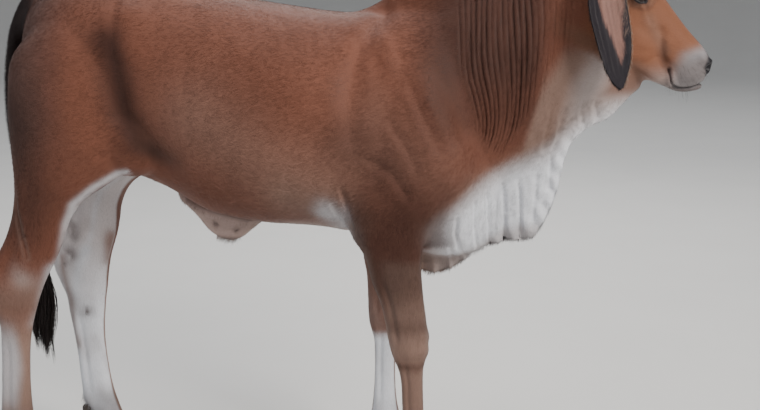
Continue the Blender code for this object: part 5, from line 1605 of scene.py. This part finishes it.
def unwrap(points):
    """Places on a flat unwrap of the body: length along and angle round the trunk, each leg and the tail."""
    x, y, z = points.T
    middle = np.interp(x, (-0.9, -0.3, 0.1, 0.35, 0.55, 0.85), (1.05, 0.95, 0.93, 1.0, 1.22, 1.1))
    round_trunk = np.arctan2(y, middle - z) / (2 * math.pi) + 0.5
    uv = np.stack([0.02 + 0.96 * (x + 0.96) / 1.86, 0.5 + 0.48 * round_trunk], axis=1)
    legs = z < 0.66
    number = (x > -0.35).astype(int) * 2 + (y > 0)
    rows = np.where(x > -0.35, 0.09 + np.where(y > 0, -0.09, 0.0), -0.92 + np.where(y > 0, 0.1, 0.0))
    round_leg = np.arctan2(y - np.sign(y) * 0.128, x - rows) / (2 * math.pi) + 0.5
    leg_uv = np.stack([0.02 + 0.24 * number + 0.2 * round_leg, 0.02 + 0.44 * z / 0.66], axis=1)
    return np.where(legs[:, None], leg_uv, uv)


def coat_flow(points, normals):
    """The way the hair lies: back and down on the body, down on the legs and ears, to the muzzle on the face."""
    n = len(points)
    flow = np.tile((-1.0, 0.0, -0.35), (n, 1))
    neck = step_up(points[:, 0], 0.15, 0.3)[:, None] * (1 - head_share(points))[:, None]
    flow = flow * (1 - neck) + np.array([-0.35, 0.0, -1.0]) * neck
    leg = step_up(0.8 - points[:, 2], 0.0, 0.12)[:, None]
    flow = flow * (1 - leg) + np.array([-0.1, 0.0, -1.0]) * leg
    head = head_share(points)[:, None]
    flow = flow * (1 - head) + (TO_MUZZLE + np.array([0, 0, -0.35])) * head
    on, _, _, _ = ear_place(points)
    flow = flow * (1 - on[:, None]) + np.array([0.1, 0.0, -1.0]) * on[:, None]
    flow = square_to(flow, normals)
    return flow / np.maximum(np.linalg.norm(flow, axis=1), 1e-6)[:, None]


def sample(mesh, count, density, seed):
    """Random places on a mesh, in proportion to area times density at the triangles' middles, and the draw."""
    mesh.calc_loop_triangles()
    corners = np.empty(len(mesh.loop_triangles) * 3, np.int32)
    mesh.loop_triangles.foreach_get("vertices", corners)
    corners = corners.reshape(-1, 3)
    points, normals = points_of(mesh) - (SHIFT, 0, 0), normals_of(mesh)
    a, b, c = (points[corners[:, k]] for k in range(3))
    area = np.linalg.norm(np.cross(b - a, c - a), axis=1)
    weight = area * density((a + b + c) / 3)
    draw = np.random.default_rng(seed)
    chosen = np.searchsorted(np.cumsum(weight) / weight.sum(), draw.random(count))
    r, s = draw.random(count), draw.random(count)
    flip = r + s > 1
    r, s = np.where(flip, 1 - r, r)[:, None], np.where(flip, 1 - s, s)[:, None]
    place = a[chosen] * (1 - r - s) + b[chosen] * r + c[chosen] * s
    lie = normals[corners[chosen]]
    normal = lie[:, 0] * (1 - r - s) + lie[:, 1] * r + lie[:, 2] * s
    return place, unit(normal), draw


def spikes(name, paths, across, width, colours, roots_uv, thickness=0.45, facing=None):
    """Closed three-sided tufts: paths[i, k] is ring k of tuft i, width[i, k] its half width; the last is the tip.

    With facing, light falls on each as on the skin under it, which keeps short hair from looking like gravel.
    """
    count, rings = paths.shape[:2]
    ahead = np.gradient(paths, axis=1)
    ahead /= np.maximum(np.linalg.norm(ahead, axis=2), 1e-9)[..., None]
    side = across[:, None] - (across[:, None] * ahead).sum(2)[..., None] * ahead
    side /= np.maximum(np.linalg.norm(side, axis=2), 1e-9)[..., None]
    up = np.cross(side, ahead)
    body = rings - 1
    corners = []
    for turn in (math.pi / 2, math.pi * 7 / 6, math.pi * 11 / 6):
        out = math.cos(turn) * side[:, :body] + thickness * math.sin(turn) * up[:, :body]
        corners.append(paths[:, :body] + width[:, :body, None] * out)
    ring_points = np.stack(corners, axis=2).reshape(count, body * 3, 3)
    points = np.concatenate([ring_points, paths[:, -1:]], axis=1)
    per = body * 3 + 1
    faces = [[0, 1, 2]]
    for k in range(body - 1):
        for j in range(3):
            a, b = 3 * k + j, 3 * k + (j + 1) % 3
            faces += [[a, a + 3, b + 3], [a, b + 3, b]]
    last = 3 * (body - 1)
    faces += [[last + j, per - 1, last + (j + 1) % 3] for j in range(3)]
    faces = np.array(faces)
    whole = (faces[None] + (np.arange(count) * per)[:, None, None]).reshape(-1, 3)
    mesh = bpy.data.meshes.new(name)
    mesh.vertices.add(count * per)
    mesh.vertices.foreach_set("co", (points.reshape(-1, 3) + (SHIFT, 0, 0)).astype(np.float32).ravel())
    mesh.loops.add(len(whole) * 3)
    mesh.loops.foreach_set("vertex_index", whole.astype(np.int32).ravel())
    mesh.polygons.add(len(whole))
    mesh.polygons.foreach_set("loop_start", np.arange(0, len(whole) * 3, 3, dtype=np.int32))
    mesh.update(calc_edges=True)
    share = np.concatenate([np.repeat(np.arange(body) / body, 3), [1.0]])
    tones = colours[:, None, :] * (0.88 + 0.22 * share)[None, :, None]
    set_colour(mesh, "tint", tones.reshape(-1, 3))
    patch = 0.0015 * np.stack([np.cos(np.arange(per) * 2.4), share * 2 - 1], axis=1)
    places = (roots_uv[:, None] + patch[None]).reshape(-1, 2)
    layer = mesh.uv_layers.new(name="OFBake")
    layer.data.foreach_set("uv", places[whole.ravel()].astype(np.float32).ravel())
    mesh.shade_smooth()
    if facing is not None:
        mesh.normals_split_custom_set_from_vertices(np.repeat(facing, per, axis=0).astype(np.float32))
    return mesh


def tufts(name, place, normal, flow, length, width, colours, lift=0.1, rings=1, droop=0.0):
    """Tufts from their roots along the flow: height = lift * length * t * (1.35 - 0.55 t), drooping by t squared."""
    t = np.linspace(0, 1, rings + 1)
    height = np.asarray(lift)[..., None] * length[:, None] * (t * (1.35 - 0.55 * t))[None] - 0.0005 * (1 - t)[None]
    reach = (length[:, None] * t[None])[..., None]
    paths = place[:, None] + flow[:, None] * reach + normal[:, None] * height[..., None]
    paths[:, :, 2] -= droop * length[:, None] * t[None] ** 2
    shape = 1 - 0.55 * t**1.5
    across = np.cross(normal, flow)
    return spikes(name, paths, across, width[:, None] * shape[None], colours, unwrap(place), 0.28, normal)


def coat_tufts(skin, which, count, look, tuft, seed):
    """Short tufts over a part of the skin."""
    place, normal, draw = sample(skin.data, count, lambda points: region(which, points), seed)
    flow = coat_flow(place, normal)
    flow += 0.16 * draw.normal(size=flow.shape)
    flow = unit(square_to(flow, normal))
    length, width = tuft_sizes(which, tuft, place)
    length = length * draw.uniform(0.75, 1.2, count)
    colours, bare, _ = hide_colours(place, normal, look)
    colours = colours * draw.uniform(0.84, 1.14, (count, 1))
    width = width * draw.uniform(0.8, 1.15, count) * (1 - step_up(bare, 0.3, 0.6) * 0.98)
    return tufts("coat", place, normal, flow, length, width, colours, 0.085 * draw.uniform(0.5, 1.6, count))


def on_head(points):
    """1 on the furred head, 0 on its bare nose, eye and ears."""
    along, sideways, up = to_head(points)
    gap, _ = lid_gap(along, up)
    bare = (gap < 0.0045) & (np.abs(sideways) > 0.055)
    q = np.hypot(along - NOSTRIL_AT[0], (up - NOSTRIL_AT[2]) * 1.3)
    density = np.where(along > 0.2, 1.5, 1.0)
    return (head_share(points) > 0.5) * ~bare * (q > 0.022) * (ear_place(points)[0] < 0.3) * density


def region(which, points):
    """The density of a part of the coat: trunk, rear, neck, legs, head, ears or tail."""
    x, y, z = points.T
    if which == "head":
        return on_head(points)
    if which == "ears":
        return (ear_place(points)[0] > 0.25).astype(float)
    if which == "tail":
        return (tail_share(points) > 0.5).astype(float)
    neck = (z >= 0.54) & (x >= 0.15)
    trunk = (z >= 0.66) & (x >= -0.42) & (x < 0.15)
    chosen = {
        "legs": (z < 0.66) & ~neck,
        "rear": (z >= 0.66) & (x < -0.42),
        "trunk_right": trunk & (y < 0),
        "trunk_left": trunk & (y >= 0),
        "neck": neck,
    }[which]
    return ((head_share(points) <= 0.5) & (tail_share(points) <= 0.5) & chosen).astype(float)


# Length of a tuft, and its half width as a share of the trunk's
TUFT_SIZES = {"ears": (0.008, 0.58), "tail": (0.017, 0.55), "neck": (0.0115, 0.95)}


def tuft_sizes(which, tuft, points):
    """Length and half width of the tufts of a part, at their roots."""
    if which == "head":
        face = step_up(to_head(points)[0], 0.0, 0.12)
        return 0.0085 - 0.0038 * face, tuft * (0.72 - 0.22 * face)
    if which == "legs":
        long = np.interp(points[:, 2], (0.05, 0.25, 0.66), (0.0065, 0.0075, 0.0105))
        return long, np.interp(points[:, 2], (0.05, 0.66), (0.62, 0.92)) * tuft
    long, wide = TUFT_SIZES.get(which, (0.0135, 1.0))
    return np.full(len(points), long), np.full(len(points), wide * tuft)


class Fringe:
    """Longer hair that breaks the outline, gathered place by place."""

    def __init__(self, skin, look, draw):
        self.skin, self.look, self.draw = skin, look, draw
        self.black, self.pale, self.red = (np.array(getattr(look, name)) for name in ("black", "pale", "red"))
        self.roots = []

    def add(self, kind, place, normal, flow, tint=None):
        """Hair of a kind at these places, in the hide's own colour where no tint is given."""
        draw, n = self.draw, len(place)
        length, width, lift, droop, spread = FRINGE[kind]
        normal = np.broadcast_to(normal, (n, 3))
        tint = hide_colours(place, normal, self.look)[0] if tint is None else tint
        flow = unit(flow + spread * draw.normal(size=(n, 3)))
        sizes = length * draw.uniform(0.6, 1.25, n), width * draw.uniform(0.7, 1.2, n)
        tones = tint * draw.uniform(0.75, 1.2, (n, 1))
        self.roots.append((place, normal, flow, *sizes, tones, np.full(n, lift), np.full(n, droop)))

    def on_skin(self, kind, centre, radius, count, flow):
        """Hair of a kind on the skin round a point."""
        place, normal = sample_near(self.skin, centre, radius, count, self.draw)
        self.add(kind, place, normal, flow(place, normal) if callable(flow) else flow)

    def ear(self, side):
        """Hair of an ear: its two edges, its cup and the poll beside it."""
        draw = self.draw
        sections = ear_sections(side)
        rings, count = sections.shape[:2]
        half = count // 2
        middle = (sections[:, half // 2] + sections[:, count - 1 - half // 2]) / 2
        # the rear edge's hair is black; the front edge's pale hair is a painted highlight, a rim of sunlit hair
        for edge, tint, number in ((0, self.black * 1.4, 520), (half - 1, self.pale * (0.72, 0.58, 0.46), 760)):
            ring = draw.uniform(10, rings - 2, number)
            low = ring.astype(int)
            share = (ring - low)[:, None]
            column = edge if side > 0 else half - 1 - edge
            line = (sections[:, column] + sections[:, count - 1 - column]) / 2
            place = line[low] * (1 - share) + line[low + 1] * share
            out = unit(place - middle[low])
            down = unit(line[low + 1] - line[low]) + 0.55 * out
            self.add("ear edge", place - 0.001 * out, out, down, tint)
        ring = draw.integers(11, int(rings * 0.6), 460)
        column = draw.integers(half - 11, half - 2, 460) if side > 0 else draw.integers(2, 11, 460)
        facing, back = np.array(EAR_FACING) * (1, side, 1), (-0.3, 0.1 * side, -1.0)
        self.add("ear cup", sections[ring, column], facing, back, self.pale * (0.32, 0.21, 0.16))
        lie = np.array([0, side * 0.4, 0.2])
        self.on_skin("poll", (0.53, side * 0.045, 1.385), 0.045, 420, lambda *coat: coat_flow(*coat) + lie)

    def foot(self, rows, shift, side):
        """Hair over a coronet and behind its fetlock."""
        ring = leg_sections(rows, side, shift)[-2]
        place = ring[self.draw.integers(0, len(ring), 620)]
        place[:, 2] = CORONET + self.draw.uniform(0.001, 0.011, 620)
        out = unit((place - ring.mean(0)) * (1, 1, 0))
        place -= 0.0035 * out
        self.add("coronet", place, out, np.array([0.05, 0, -1]) + 0.22 * out, self.black * 3.0 + self.red * 0.08)
        back, middle = leg_back(rows, 0.105)
        heel = float(back + shift_at(shift, 0.105, side)[1])
        self.on_skin("fetlock", (heel, side * float(middle), 0.112), 0.036, 420, (-0.3, 0.0, -1.0))

    def hem(self):
        """Hair along the dewlap's lower edge."""
        line = curve_through([row[:2] for row in DEWLAP[:9]], 0.003)
        chosen = line[self.draw.integers(0, len(line), 1500)]
        below = np.column_stack([chosen[:, 0], self.draw.normal(0, 0.006, 1500), chosen[:, 1] + 0.01])
        self.add("hem", *snap_to_skin(self.skin, below), (-0.35, 0.0, -1.0))


def fringe_tufts(skin, look, draw):
    """The longer hair of ears, poll, coronets, fetlocks, sheath and dewlap."""
    fringe = Fringe(skin, look, draw)
    for _, side in SIDES:
        fringe.ear(side)
        fringe.foot(FORELEG, FORELEG_SHIFT, side)
        fringe.foot(HINDLEG, HINDLEG_SHIFT, side)
    fringe.on_skin("sheath", SHEATH_TIP, 0.03, 300, (-0.5, 0.0, -1.0))
    fringe.hem()
    place, normal, flow, length, width, tones, lift, droop = (np.concatenate(part) for part in zip(*fringe.roots))
    return tufts("fringe", place, normal, flow, length, width, tones, lift, 2, droop[:, None])


def sample_near(skin, centre, radius, count, draw):
    """Skin points and normals round a place."""
    points, normals = skin_arrays(skin)
    near = np.flatnonzero(np.linalg.norm(points - np.array(centre), axis=1) < radius)
    chosen = near[draw.integers(0, len(near), count)]
    loose = draw.normal(0, 0.0015, (count, 3))
    loose -= (loose * normals[chosen]).sum(1)[:, None] * normals[chosen]
    return points[chosen] + loose, normals[chosen]


def snap_to_skin(skin, places):
    """The skin's nearest vertex and normal to each place."""
    points, normals = skin_arrays(skin)
    low, high = places.min(0) - 0.03, places.max(0) + 0.03
    near = np.flatnonzero(((points > low) & (points < high)).all(1))
    index, _ = nearest(places, points[near])
    return points[near[index]], normals[near[index]]


# Places of whiskers on the head, how far round them they grow, their number and length
WHISKERS = (
    ((0.3, 0.04, -0.08), 0.032, 26, 0.03),
    ((0.31, 0.026, -0.135), 0.028, 22, 0.024),
    ((0.09, 0.08, 0.034), 0.014, 9, 0.03),
)


def whisker_tufts(skin, draw):
    """Long single hairs round nostrils, lips and chin, and above the eyes."""
    parts = []
    for _, side in SIDES:
        for (along, sideways, up), radius, number, long in WHISKERS:
            centre = from_head(along, side * sideways, up)
            place, normal = sample_near(skin, centre, radius, number, draw)
            parts.append((place, normal, draw.uniform(0.6, 1.1, number) * long))
    place, normal, length = (np.concatenate(part) for part in zip(*parts))
    flow = unit(0.5 * TO_MUZZLE + normal + 0.2 * draw.normal(size=normal.shape))
    tones = np.tile((0.05, 0.045, 0.04), (len(place), 1))
    return tufts("whiskers", place, normal, flow, length, np.full(len(place), 0.00022), tones, 0.0, 3, 0.35)


def lid_edge(radius, turn, side, beyond=0.0):
    """Points of the lids' edge on the ball, with their outward and away-from-the-gap directions."""
    a = (LID_REACH + beyond) * np.cos(turn)
    b = np.abs(np.sin(turn)) ** 1.25 * np.where(np.sin(turn) > 0, LID_UPPER + beyond, -LID_LOWER - beyond)
    cos, sin = math.cos(LID_SLANT), math.sin(LID_SLANT)
    u, w = a * cos + b * sin, -a * sin + b * cos
    out = np.sqrt(np.maximum(radius**2 - u**2 - w**2, (0.12 * radius) ** 2))
    points = from_head(EYE_AT[0] + u, side * (EYE_AT[1] + out), EYE_AT[2] + w)
    ball = from_head(EYE_AT[0], side * EYE_AT[1], EYE_AT[2])
    normal = unit(points - ball)
    ahead = np.roll(points, -1, axis=0) - np.roll(points, 1, axis=0)
    away = unit(np.cross(ahead, normal))
    away *= np.sign(((points - points.mean(0)) * away).sum(1))[:, None]
    return points, normal, away


def lid_rim_mesh(side, radius):
    """The lids' wet margin: a flattened tube round the gap, away * 1.5 mm * cosine + outward * 1.2 mm * sine."""
    turn = turns(120)
    points, normal, away = lid_edge(radius + 0.0012, turn, side)
    angle = turns(12)
    swell = (1 + 0.1 * np.sin(7 * turn) * np.sin(3 * turn))[:, None, None]
    ring = away[:, None] * (0.0007 + 0.0015 * np.cos(angle))[None, :, None] + normal[:, None] * (
        0.0012 * np.sin(angle)
    )[None, :, None] * swell
    sections = points[:, None] + ring
    rings, count = 120, 12
    i, j = np.meshgrid(np.arange(rings), np.arange(count), indexing="ij")
    a, b = i * count + j, i * count + (j + 1) % count
    c, d = (i + 1) % rings * count + (j + 1) % count, (i + 1) % rings * count + j
    quads = np.stack([a, b, c, d], axis=2).reshape(-1, 4)
    mesh = outward(mesh_of("rim", sections.reshape(-1, 3) + (SHIFT, 0, 0), quads))
    mesh.shade_smooth()
    return mesh


# Part of the lids' round in half turns, number of lashes, length, how much they curve up
LASHES = ((0.16, 0.86, 84, 0.0125, 0.55), (1.25, 1.75, 30, 0.006, -0.4))


def lash_mesh(radius, draw):
    """Lashes: hairs that leave the lids outwards and curve up from the upper, down from the lower lid."""
    paths, widths, sides = [], [], []
    for _, side in SIDES:
        for low, high, number, long, rise in LASHES:
            turn = np.sort(draw.uniform(low, high, number)) * math.pi
            points, normal, away = lid_edge(radius + 0.0012, turns(240), side)
            chosen = (turn / (2 * math.pi) * 240).astype(int) % 240
            root = points[chosen] + 0.0012 * away[chosen]
            way = unit(normal[chosen] + 0.35 * away[chosen] + 0.12 * draw.normal(size=(number, 3)))
            length = long * draw.uniform(0.65, 1.1, number)[:, None, None]
            t = np.linspace(0, 1, 5)[None, :, None]
            bend = np.array([0.0, 0.0, rise])
            paths.append(root[:, None] + length * (way[:, None] * t + bend * t**2))
            widths.append(np.full((number, 5), 0.0003) * (1 - 0.7 * np.linspace(0, 1, 5) ** 2))
            sides.append(away[chosen])
    paths, widths, sides = (np.concatenate(part) for part in (paths, widths, sides))
    tones = np.tile((0.012, 0.01, 0.01), (len(paths), 1))
    return spikes("lashes", paths, sides + 1e-4, widths, tones, unwrap(paths[:, 0]), 0.8)


def switch_mesh(coat, seed=4):
    """The switch: strands that leave the tail's end, stand off its middle by a part sine and hang to a tip."""
    draw = np.random.default_rng(seed)
    count, locks = coat.strands, LOCKS
    lock = draw.integers(0, locks, count)
    lock_turn = np.arange(locks) * GOLDEN_ANGLE
    lock_root = 0.58 - 0.125 * np.arange(locks) / (locks - 1)
    lock_share = draw.uniform(0.6, 0.86, locks) + 0.1 * np.cos(lock_turn)
    lock_share[:3] = (1.0, 0.97, 0.93)
    lock_bulge = draw.uniform(0.01, 0.03, locks)
    lock_bulge[:3] = 0.004
    sway = draw.uniform(-0.008, 0.008, (locks, 3)) * (1, 1, 0)
    sway[:3, 0] = SWITCH_TIP_X * np.array([1.0, 0.85, 1.0])
    root = lock_root[lock] + draw.normal(0, 0.004, count)
    length = (root - SWITCH_TIP) * lock_share[lock] * draw.uniform(0.72, 1.0, count)
    turn = lock_turn[lock] + draw.normal(0, 0.1, count)
    out = np.stack([np.cos(turn), np.sin(turn), 0 * turn], axis=1)
    t = np.linspace(0, 1, 9)
    top, end = np.array(SWITCH_TOP), np.array(SWITCH_END)
    core = top + (end - top) * t[:, None]
    paths = np.repeat(core[None], count, axis=0)
    paths[:, :, 2] = root[:, None] - length[:, None] * t
    spread = 0.006 + lock_bulge[lock][:, None] * np.sin(0.8 * math.pi * t[None] ** 0.9) * (1 - 0.4 * t[None] ** 2)
    paths += out[:, None] * spread[..., None] + sway[lock][:, None] * (t**2)[None, :, None]
    loose = draw.normal(0, 1, (count, 3)) * (1, 1, 0.2)
    gather = 0.0042 * np.sin(math.pi * t**0.8) + 0.001
    paths += loose[:, None] * gather[None, :, None]
    wave = draw.uniform(0, 2 * math.pi, (count, 1))
    paths[:, :, 0] += 0.002 * np.sin(7 * t[None] + wave) * t[None]
    paths[:, :, 1] += 0.002 * np.cos(6 * t[None] + wave) * t[None]
    width = coat.strand * (1 - 0.75 * t[None] ** 2) * draw.uniform(0.7, 1.3, (count, 1))
    colours = np.array(coat.hair) * draw.uniform(0.6, 1.9, (count, 1)) * np.array([1.0, 0.93, 0.9])
    uv = np.stack([0.3 + 0.3 * (turn % (2 * math.pi)) / (2 * math.pi), 0.02 + 0.44 * (root - 0.44) / 0.16], axis=1)
    return spikes("switch", paths, out, width, colours, uv, 0.8)


# Operators


class BuildSkin(bpy.types.Operator):
    """The one hide over trunk, neck, head, ears, legs and tail"""

    bl_idname = "cattle.skin"
    bl_label = "Build skin"

    def execute(self, context):
        scene = context.scene
        obj = build_skin(scene.cattle_skin, scene.cattle_eyes.radius)
        keep_piece(obj, finish_named("hide_coat", hide_finish), "coat_red", *FLESH)
        return {"FINISHED"}


class BuildEyes(bpy.types.Operator):
    """Both eyeballs"""

    bl_idname = "cattle.eyes"
    bl_label = "Build eyes"

    def execute(self, context):
        eyes = context.scene.cattle_eyes
        for word, side in SIDES:
            obj = add_object("eyeball_" + word, eye_mesh(side, eyes.radius))
            keep_piece(obj, finish_named("eye_wet", eye_finish, eyes), "eye", "eye_" + word)
        return {"FINISHED"}


class BuildHorns(bpy.types.Operator):
    """Both horns"""

    bl_idname = "cattle.horns"
    bl_label = "Build horns"

    def execute(self, context):
        horns = context.scene.cattle_horns
        for word, side in SIDES:
            obj = add_object("horn_shell_" + word, horn_mesh(side, horns.ring))
            keep_piece(obj, finish_named("horn_polished", horn_finish, horns), "horn", "horn_" + word)
        return {"FINISHED"}


class BuildHooves(bpy.types.Operator):
    """The claws and dewclaws of every foot"""

    bl_idname = "cattle.hooves"
    bl_label = "Build hooves"

    def execute(self, context):
        horns = context.scene.cattle_horns
        material = finish_named("hoof_horn", hoof_finish, horns)
        for end, rows, hoof, shift in (
            ("fore", FORELEG, FOREHOOF, FORELEG_SHIFT),
            ("hind", HINDLEG, HINDHOOF, HINDLEG_SHIFT),
        ):
            for word, side in SIDES:
                ahead = float(shift_at(shift, CORONET, side)[0])
                claws = [claw_mesh(hoof, side, share, ahead) for share in (0, 1)]
                low = np.concatenate([values for _, values in claws])
                mesh = join_meshes("hoof", [claw for claw, _ in claws])
                self.keep(mesh, low, material, f"{end}_claws_{word}", f"{end}hoof_{word}")
                ahead = float(shift_at(shift, DEWCLAW_HEIGHT, side)[1])
                mesh = join_meshes("dewclaws", [dewclaw_mesh(rows, side, share, ahead) for share in (0, 1)])
                low = np.zeros(len(mesh.vertices))
                self.keep(mesh, low, material, f"{end}_dewclaws_{word}", f"{end}dewclaw_{word}")
        return {"FINISHED"}

    def keep(self, mesh, low, material, name, node):
        """Finishes a pair of claws that stands for two solids."""
        set_value(mesh, "low", low)
        keep_piece(add_object(name, shown(mesh)), material, "hoof", node + "_inner", node + "_outer")


class BuildLids(bpy.types.Operator):
    """Wet lid margins, lashes and whiskers"""

    bl_idname = "cattle.lids"
    bl_label = "Build lids"

    def execute(self, context):
        radius = context.scene.cattle_eyes.radius
        skin = bpy.data.objects["hide"]
        draw = np.random.default_rng(12)
        for word, side in SIDES:
            obj = add_object("lid_rim_" + word, lid_rim_mesh(side, radius))
            keep_piece(obj, finish_named("lid_wet", lid_finish), "coat_face")
        obj = add_object("lashes", lash_mesh(radius, draw))
        keep_piece(obj, dark_hair(), "switch_hair")
        obj = add_object("whiskers", whisker_tufts(skin, draw))
        keep_piece(obj, dark_hair(), "switch_hair")
        return {"FINISHED"}


COAT_PARTS = (  # part, property that holds its number of tufts, slot
    ("trunk_right", "trunk", "coat_red"),
    ("trunk_left", "trunk", "coat_red"),
    ("rear", "rear", "coat_red"),
    ("neck", "neck", "coat_red"),
    ("legs", "leg", "coat_legs"),
    ("head", "head", "coat_face"),
    ("ears", "ear", "ear_skin"),
    ("tail", "tail", "tail_coat"),
)


class BuildCoat(bpy.types.Operator):
    """Short tufts over the whole skin, and the longer fringes"""

    bl_idname = "cattle.coat"
    bl_label = "Build coat"

    def execute(self, context):
        scene = context.scene
        look, coat = scene.cattle_skin, scene.cattle_coat
        skin = bpy.data.objects["hide"]
        material = finish_named("coat_hair", tuft_finish, "coat_hair", 0.46)
        for seed, (which, tufts_of, slot) in enumerate(COAT_PARTS, 40):
            count = getattr(coat, tufts_of + "_tufts")
            mesh = coat_tufts(skin, which, count, look, coat.tuft, seed)
            keep_piece(add_object("coat_" + which, mesh), material, slot)
        mesh = fringe_tufts(skin, look, np.random.default_rng(60))
        keep_piece(add_object("coat_fringe", mesh), material, "coat_pale")
        return {"FINISHED"}


class BuildSwitch(bpy.types.Operator):
    """The black switch of the tail"""

    bl_idname = "cattle.switch"
    bl_label = "Build switch"

    def execute(self, context):
        obj = add_object("switch_hair", switch_mesh(context.scene.cattle_coat))
        keep_piece(obj, dark_hair(), "switch_hair", "tail_switch")
        return {"FINISHED"}


LIGHTS = (  # name, place, size, power, colour
    ("key", (3.2, -2.8, 3.2), 1.5, 215, (1.0, 0.955, 0.9)),
    ("fill", (-3.4, -3.0, 2.2), 3.0, 40, (0.9, 0.95, 1.0)),
    ("rim", (0.2, 3.6, 3.2), 2.4, 62, (1.0, 0.97, 0.94)),
    ("top", (-0.4, -0.3, 4.4), 3.0, 80, (1.0, 0.98, 0.96)),
    ("backdrop", (0.0, 5.5, 7.5), 6.0, 420, (0.97, 0.98, 1.0)),
)
LIT_PLACE, SKY_COLOUR, SKY_STRENGTH = Vector((0, 0, 0.8)), (0.8, 0.84, 0.9, 1), 0.42


def studio_mesh(reach=11.0, bend=5.0, wall=9.0):
    """A level floor that turns up all round through a quarter circle into a wall, open at the top."""
    turn = np.linspace(0, math.pi / 2, 24)
    radius = np.concatenate([[0.0, 2.0, 5.0, 8.0], reach + bend * np.sin(turn), [reach + bend]])
    height = np.concatenate([[0.0] * 4, bend * (1 - np.cos(turn)), [wall]])
    angle = turns(96)
    sections = np.stack(
        [radius[1:, None] * np.cos(angle), radius[1:, None] * np.sin(angle), height[1:, None] + 0 * angle], axis=2
    )
    points = sections.reshape(-1, 3)
    mesh = outward(mesh_of("floor", points, grid_faces(len(radius) - 1, 96), [np.arange(96)]))
    mesh.shade_smooth()
    return mesh


class BuildStage(bpy.types.Operator):
    """Camera, floor and soft studio light"""

    bl_idname = "cattle.stage"
    bl_label = "Build studio"

    def execute(self, context):
        stage = context.scene.cattle_stage
        level = math.cos(stage.elevation)
        back = math.sin(stage.azimuth) * level, -math.cos(stage.azimuth) * level, math.sin(stage.elevation)
        back = Vector(back)
        camera = bpy.data.cameras.new("camera")
        camera.lens = stage.lens
        camera.sensor_width = 36.0
        camera.clip_end = 200.0
        holder = bpy.data.objects.new("camera", camera)
        context.scene.collection.objects.link(holder)
        holder.location = Vector((SHIFT, 0, stage.target)) + back * stage.distance
        holder.rotation_euler = (-back).to_track_quat("-Z", "Y").to_euler()
        context.scene.camera = holder
        floor = add_object("studio_floor", studio_mesh())
        floor.data.materials.append(finish_named("floor_pale", floor_finish, stage))
        for name, place, size, power, tint in LIGHTS:
            lamp = bpy.data.lights.new(name, "AREA")
            lamp.size = size
            lamp.energy = power
            lamp.color = tint
            light = bpy.data.objects.new(name, lamp)
            context.scene.collection.objects.link(light)
            light.location = place
            light.rotation_euler = (LIT_PLACE - Vector(place)).to_track_quat("-Z", "Y").to_euler()
        world = bpy.data.worlds.new("studio")
        world.use_nodes = True
        background = world.node_tree.nodes["Background"]
        background.inputs[0].default_value = SKY_COLOUR
        background.inputs[1].default_value = SKY_STRENGTH
        context.scene.world = world
        return {"FINISHED"}


class CattlePanel(bpy.types.Panel):
    """The pieces, one button each"""

    bl_idname = "VIEW3D_PT_cattle"
    bl_label = "Brahman cattle"
    bl_space_type = "VIEW_3D"
    bl_region_type = "UI"
    bl_category = "Cattle"

    def draw(self, context):
        for operator in OPERATORS:
            self.layout.operator(operator.bl_idname)


GROUPS = {
    "cattle_skin": CattleSkin,
    "cattle_eyes": CattleEyes,
    "cattle_horns": CattleHorns,
    "cattle_coat": CattleCoat,
    "cattle_stage": CattleStage,
}
OPERATORS = (BuildStage, BuildSkin, BuildEyes, BuildHorns, BuildHooves, BuildLids, BuildSwitch, BuildCoat)


def register():
    for name, group in GROUPS.items():
        bpy.utils.register_class(group)
        setattr(bpy.types.Scene, name, PointerProperty(type=group))
    for operator in OPERATORS:
        bpy.utils.register_class(operator)
    bpy.utils.register_class(CattlePanel)


def unregister():
    bpy.utils.unregister_class(CattlePanel)
    for operator in OPERATORS[::-1]:
        bpy.utils.unregister_class(operator)
    for name, group in GROUPS.items():
        delattr(bpy.types.Scene, name)
        bpy.utils.unregister_class(group)


def main():
    register()
    for operator in OPERATORS:
        group, name = operator.bl_idname.split(".")
        getattr(getattr(bpy.ops, group), name)()


if __name__ == "__main__":
    main()
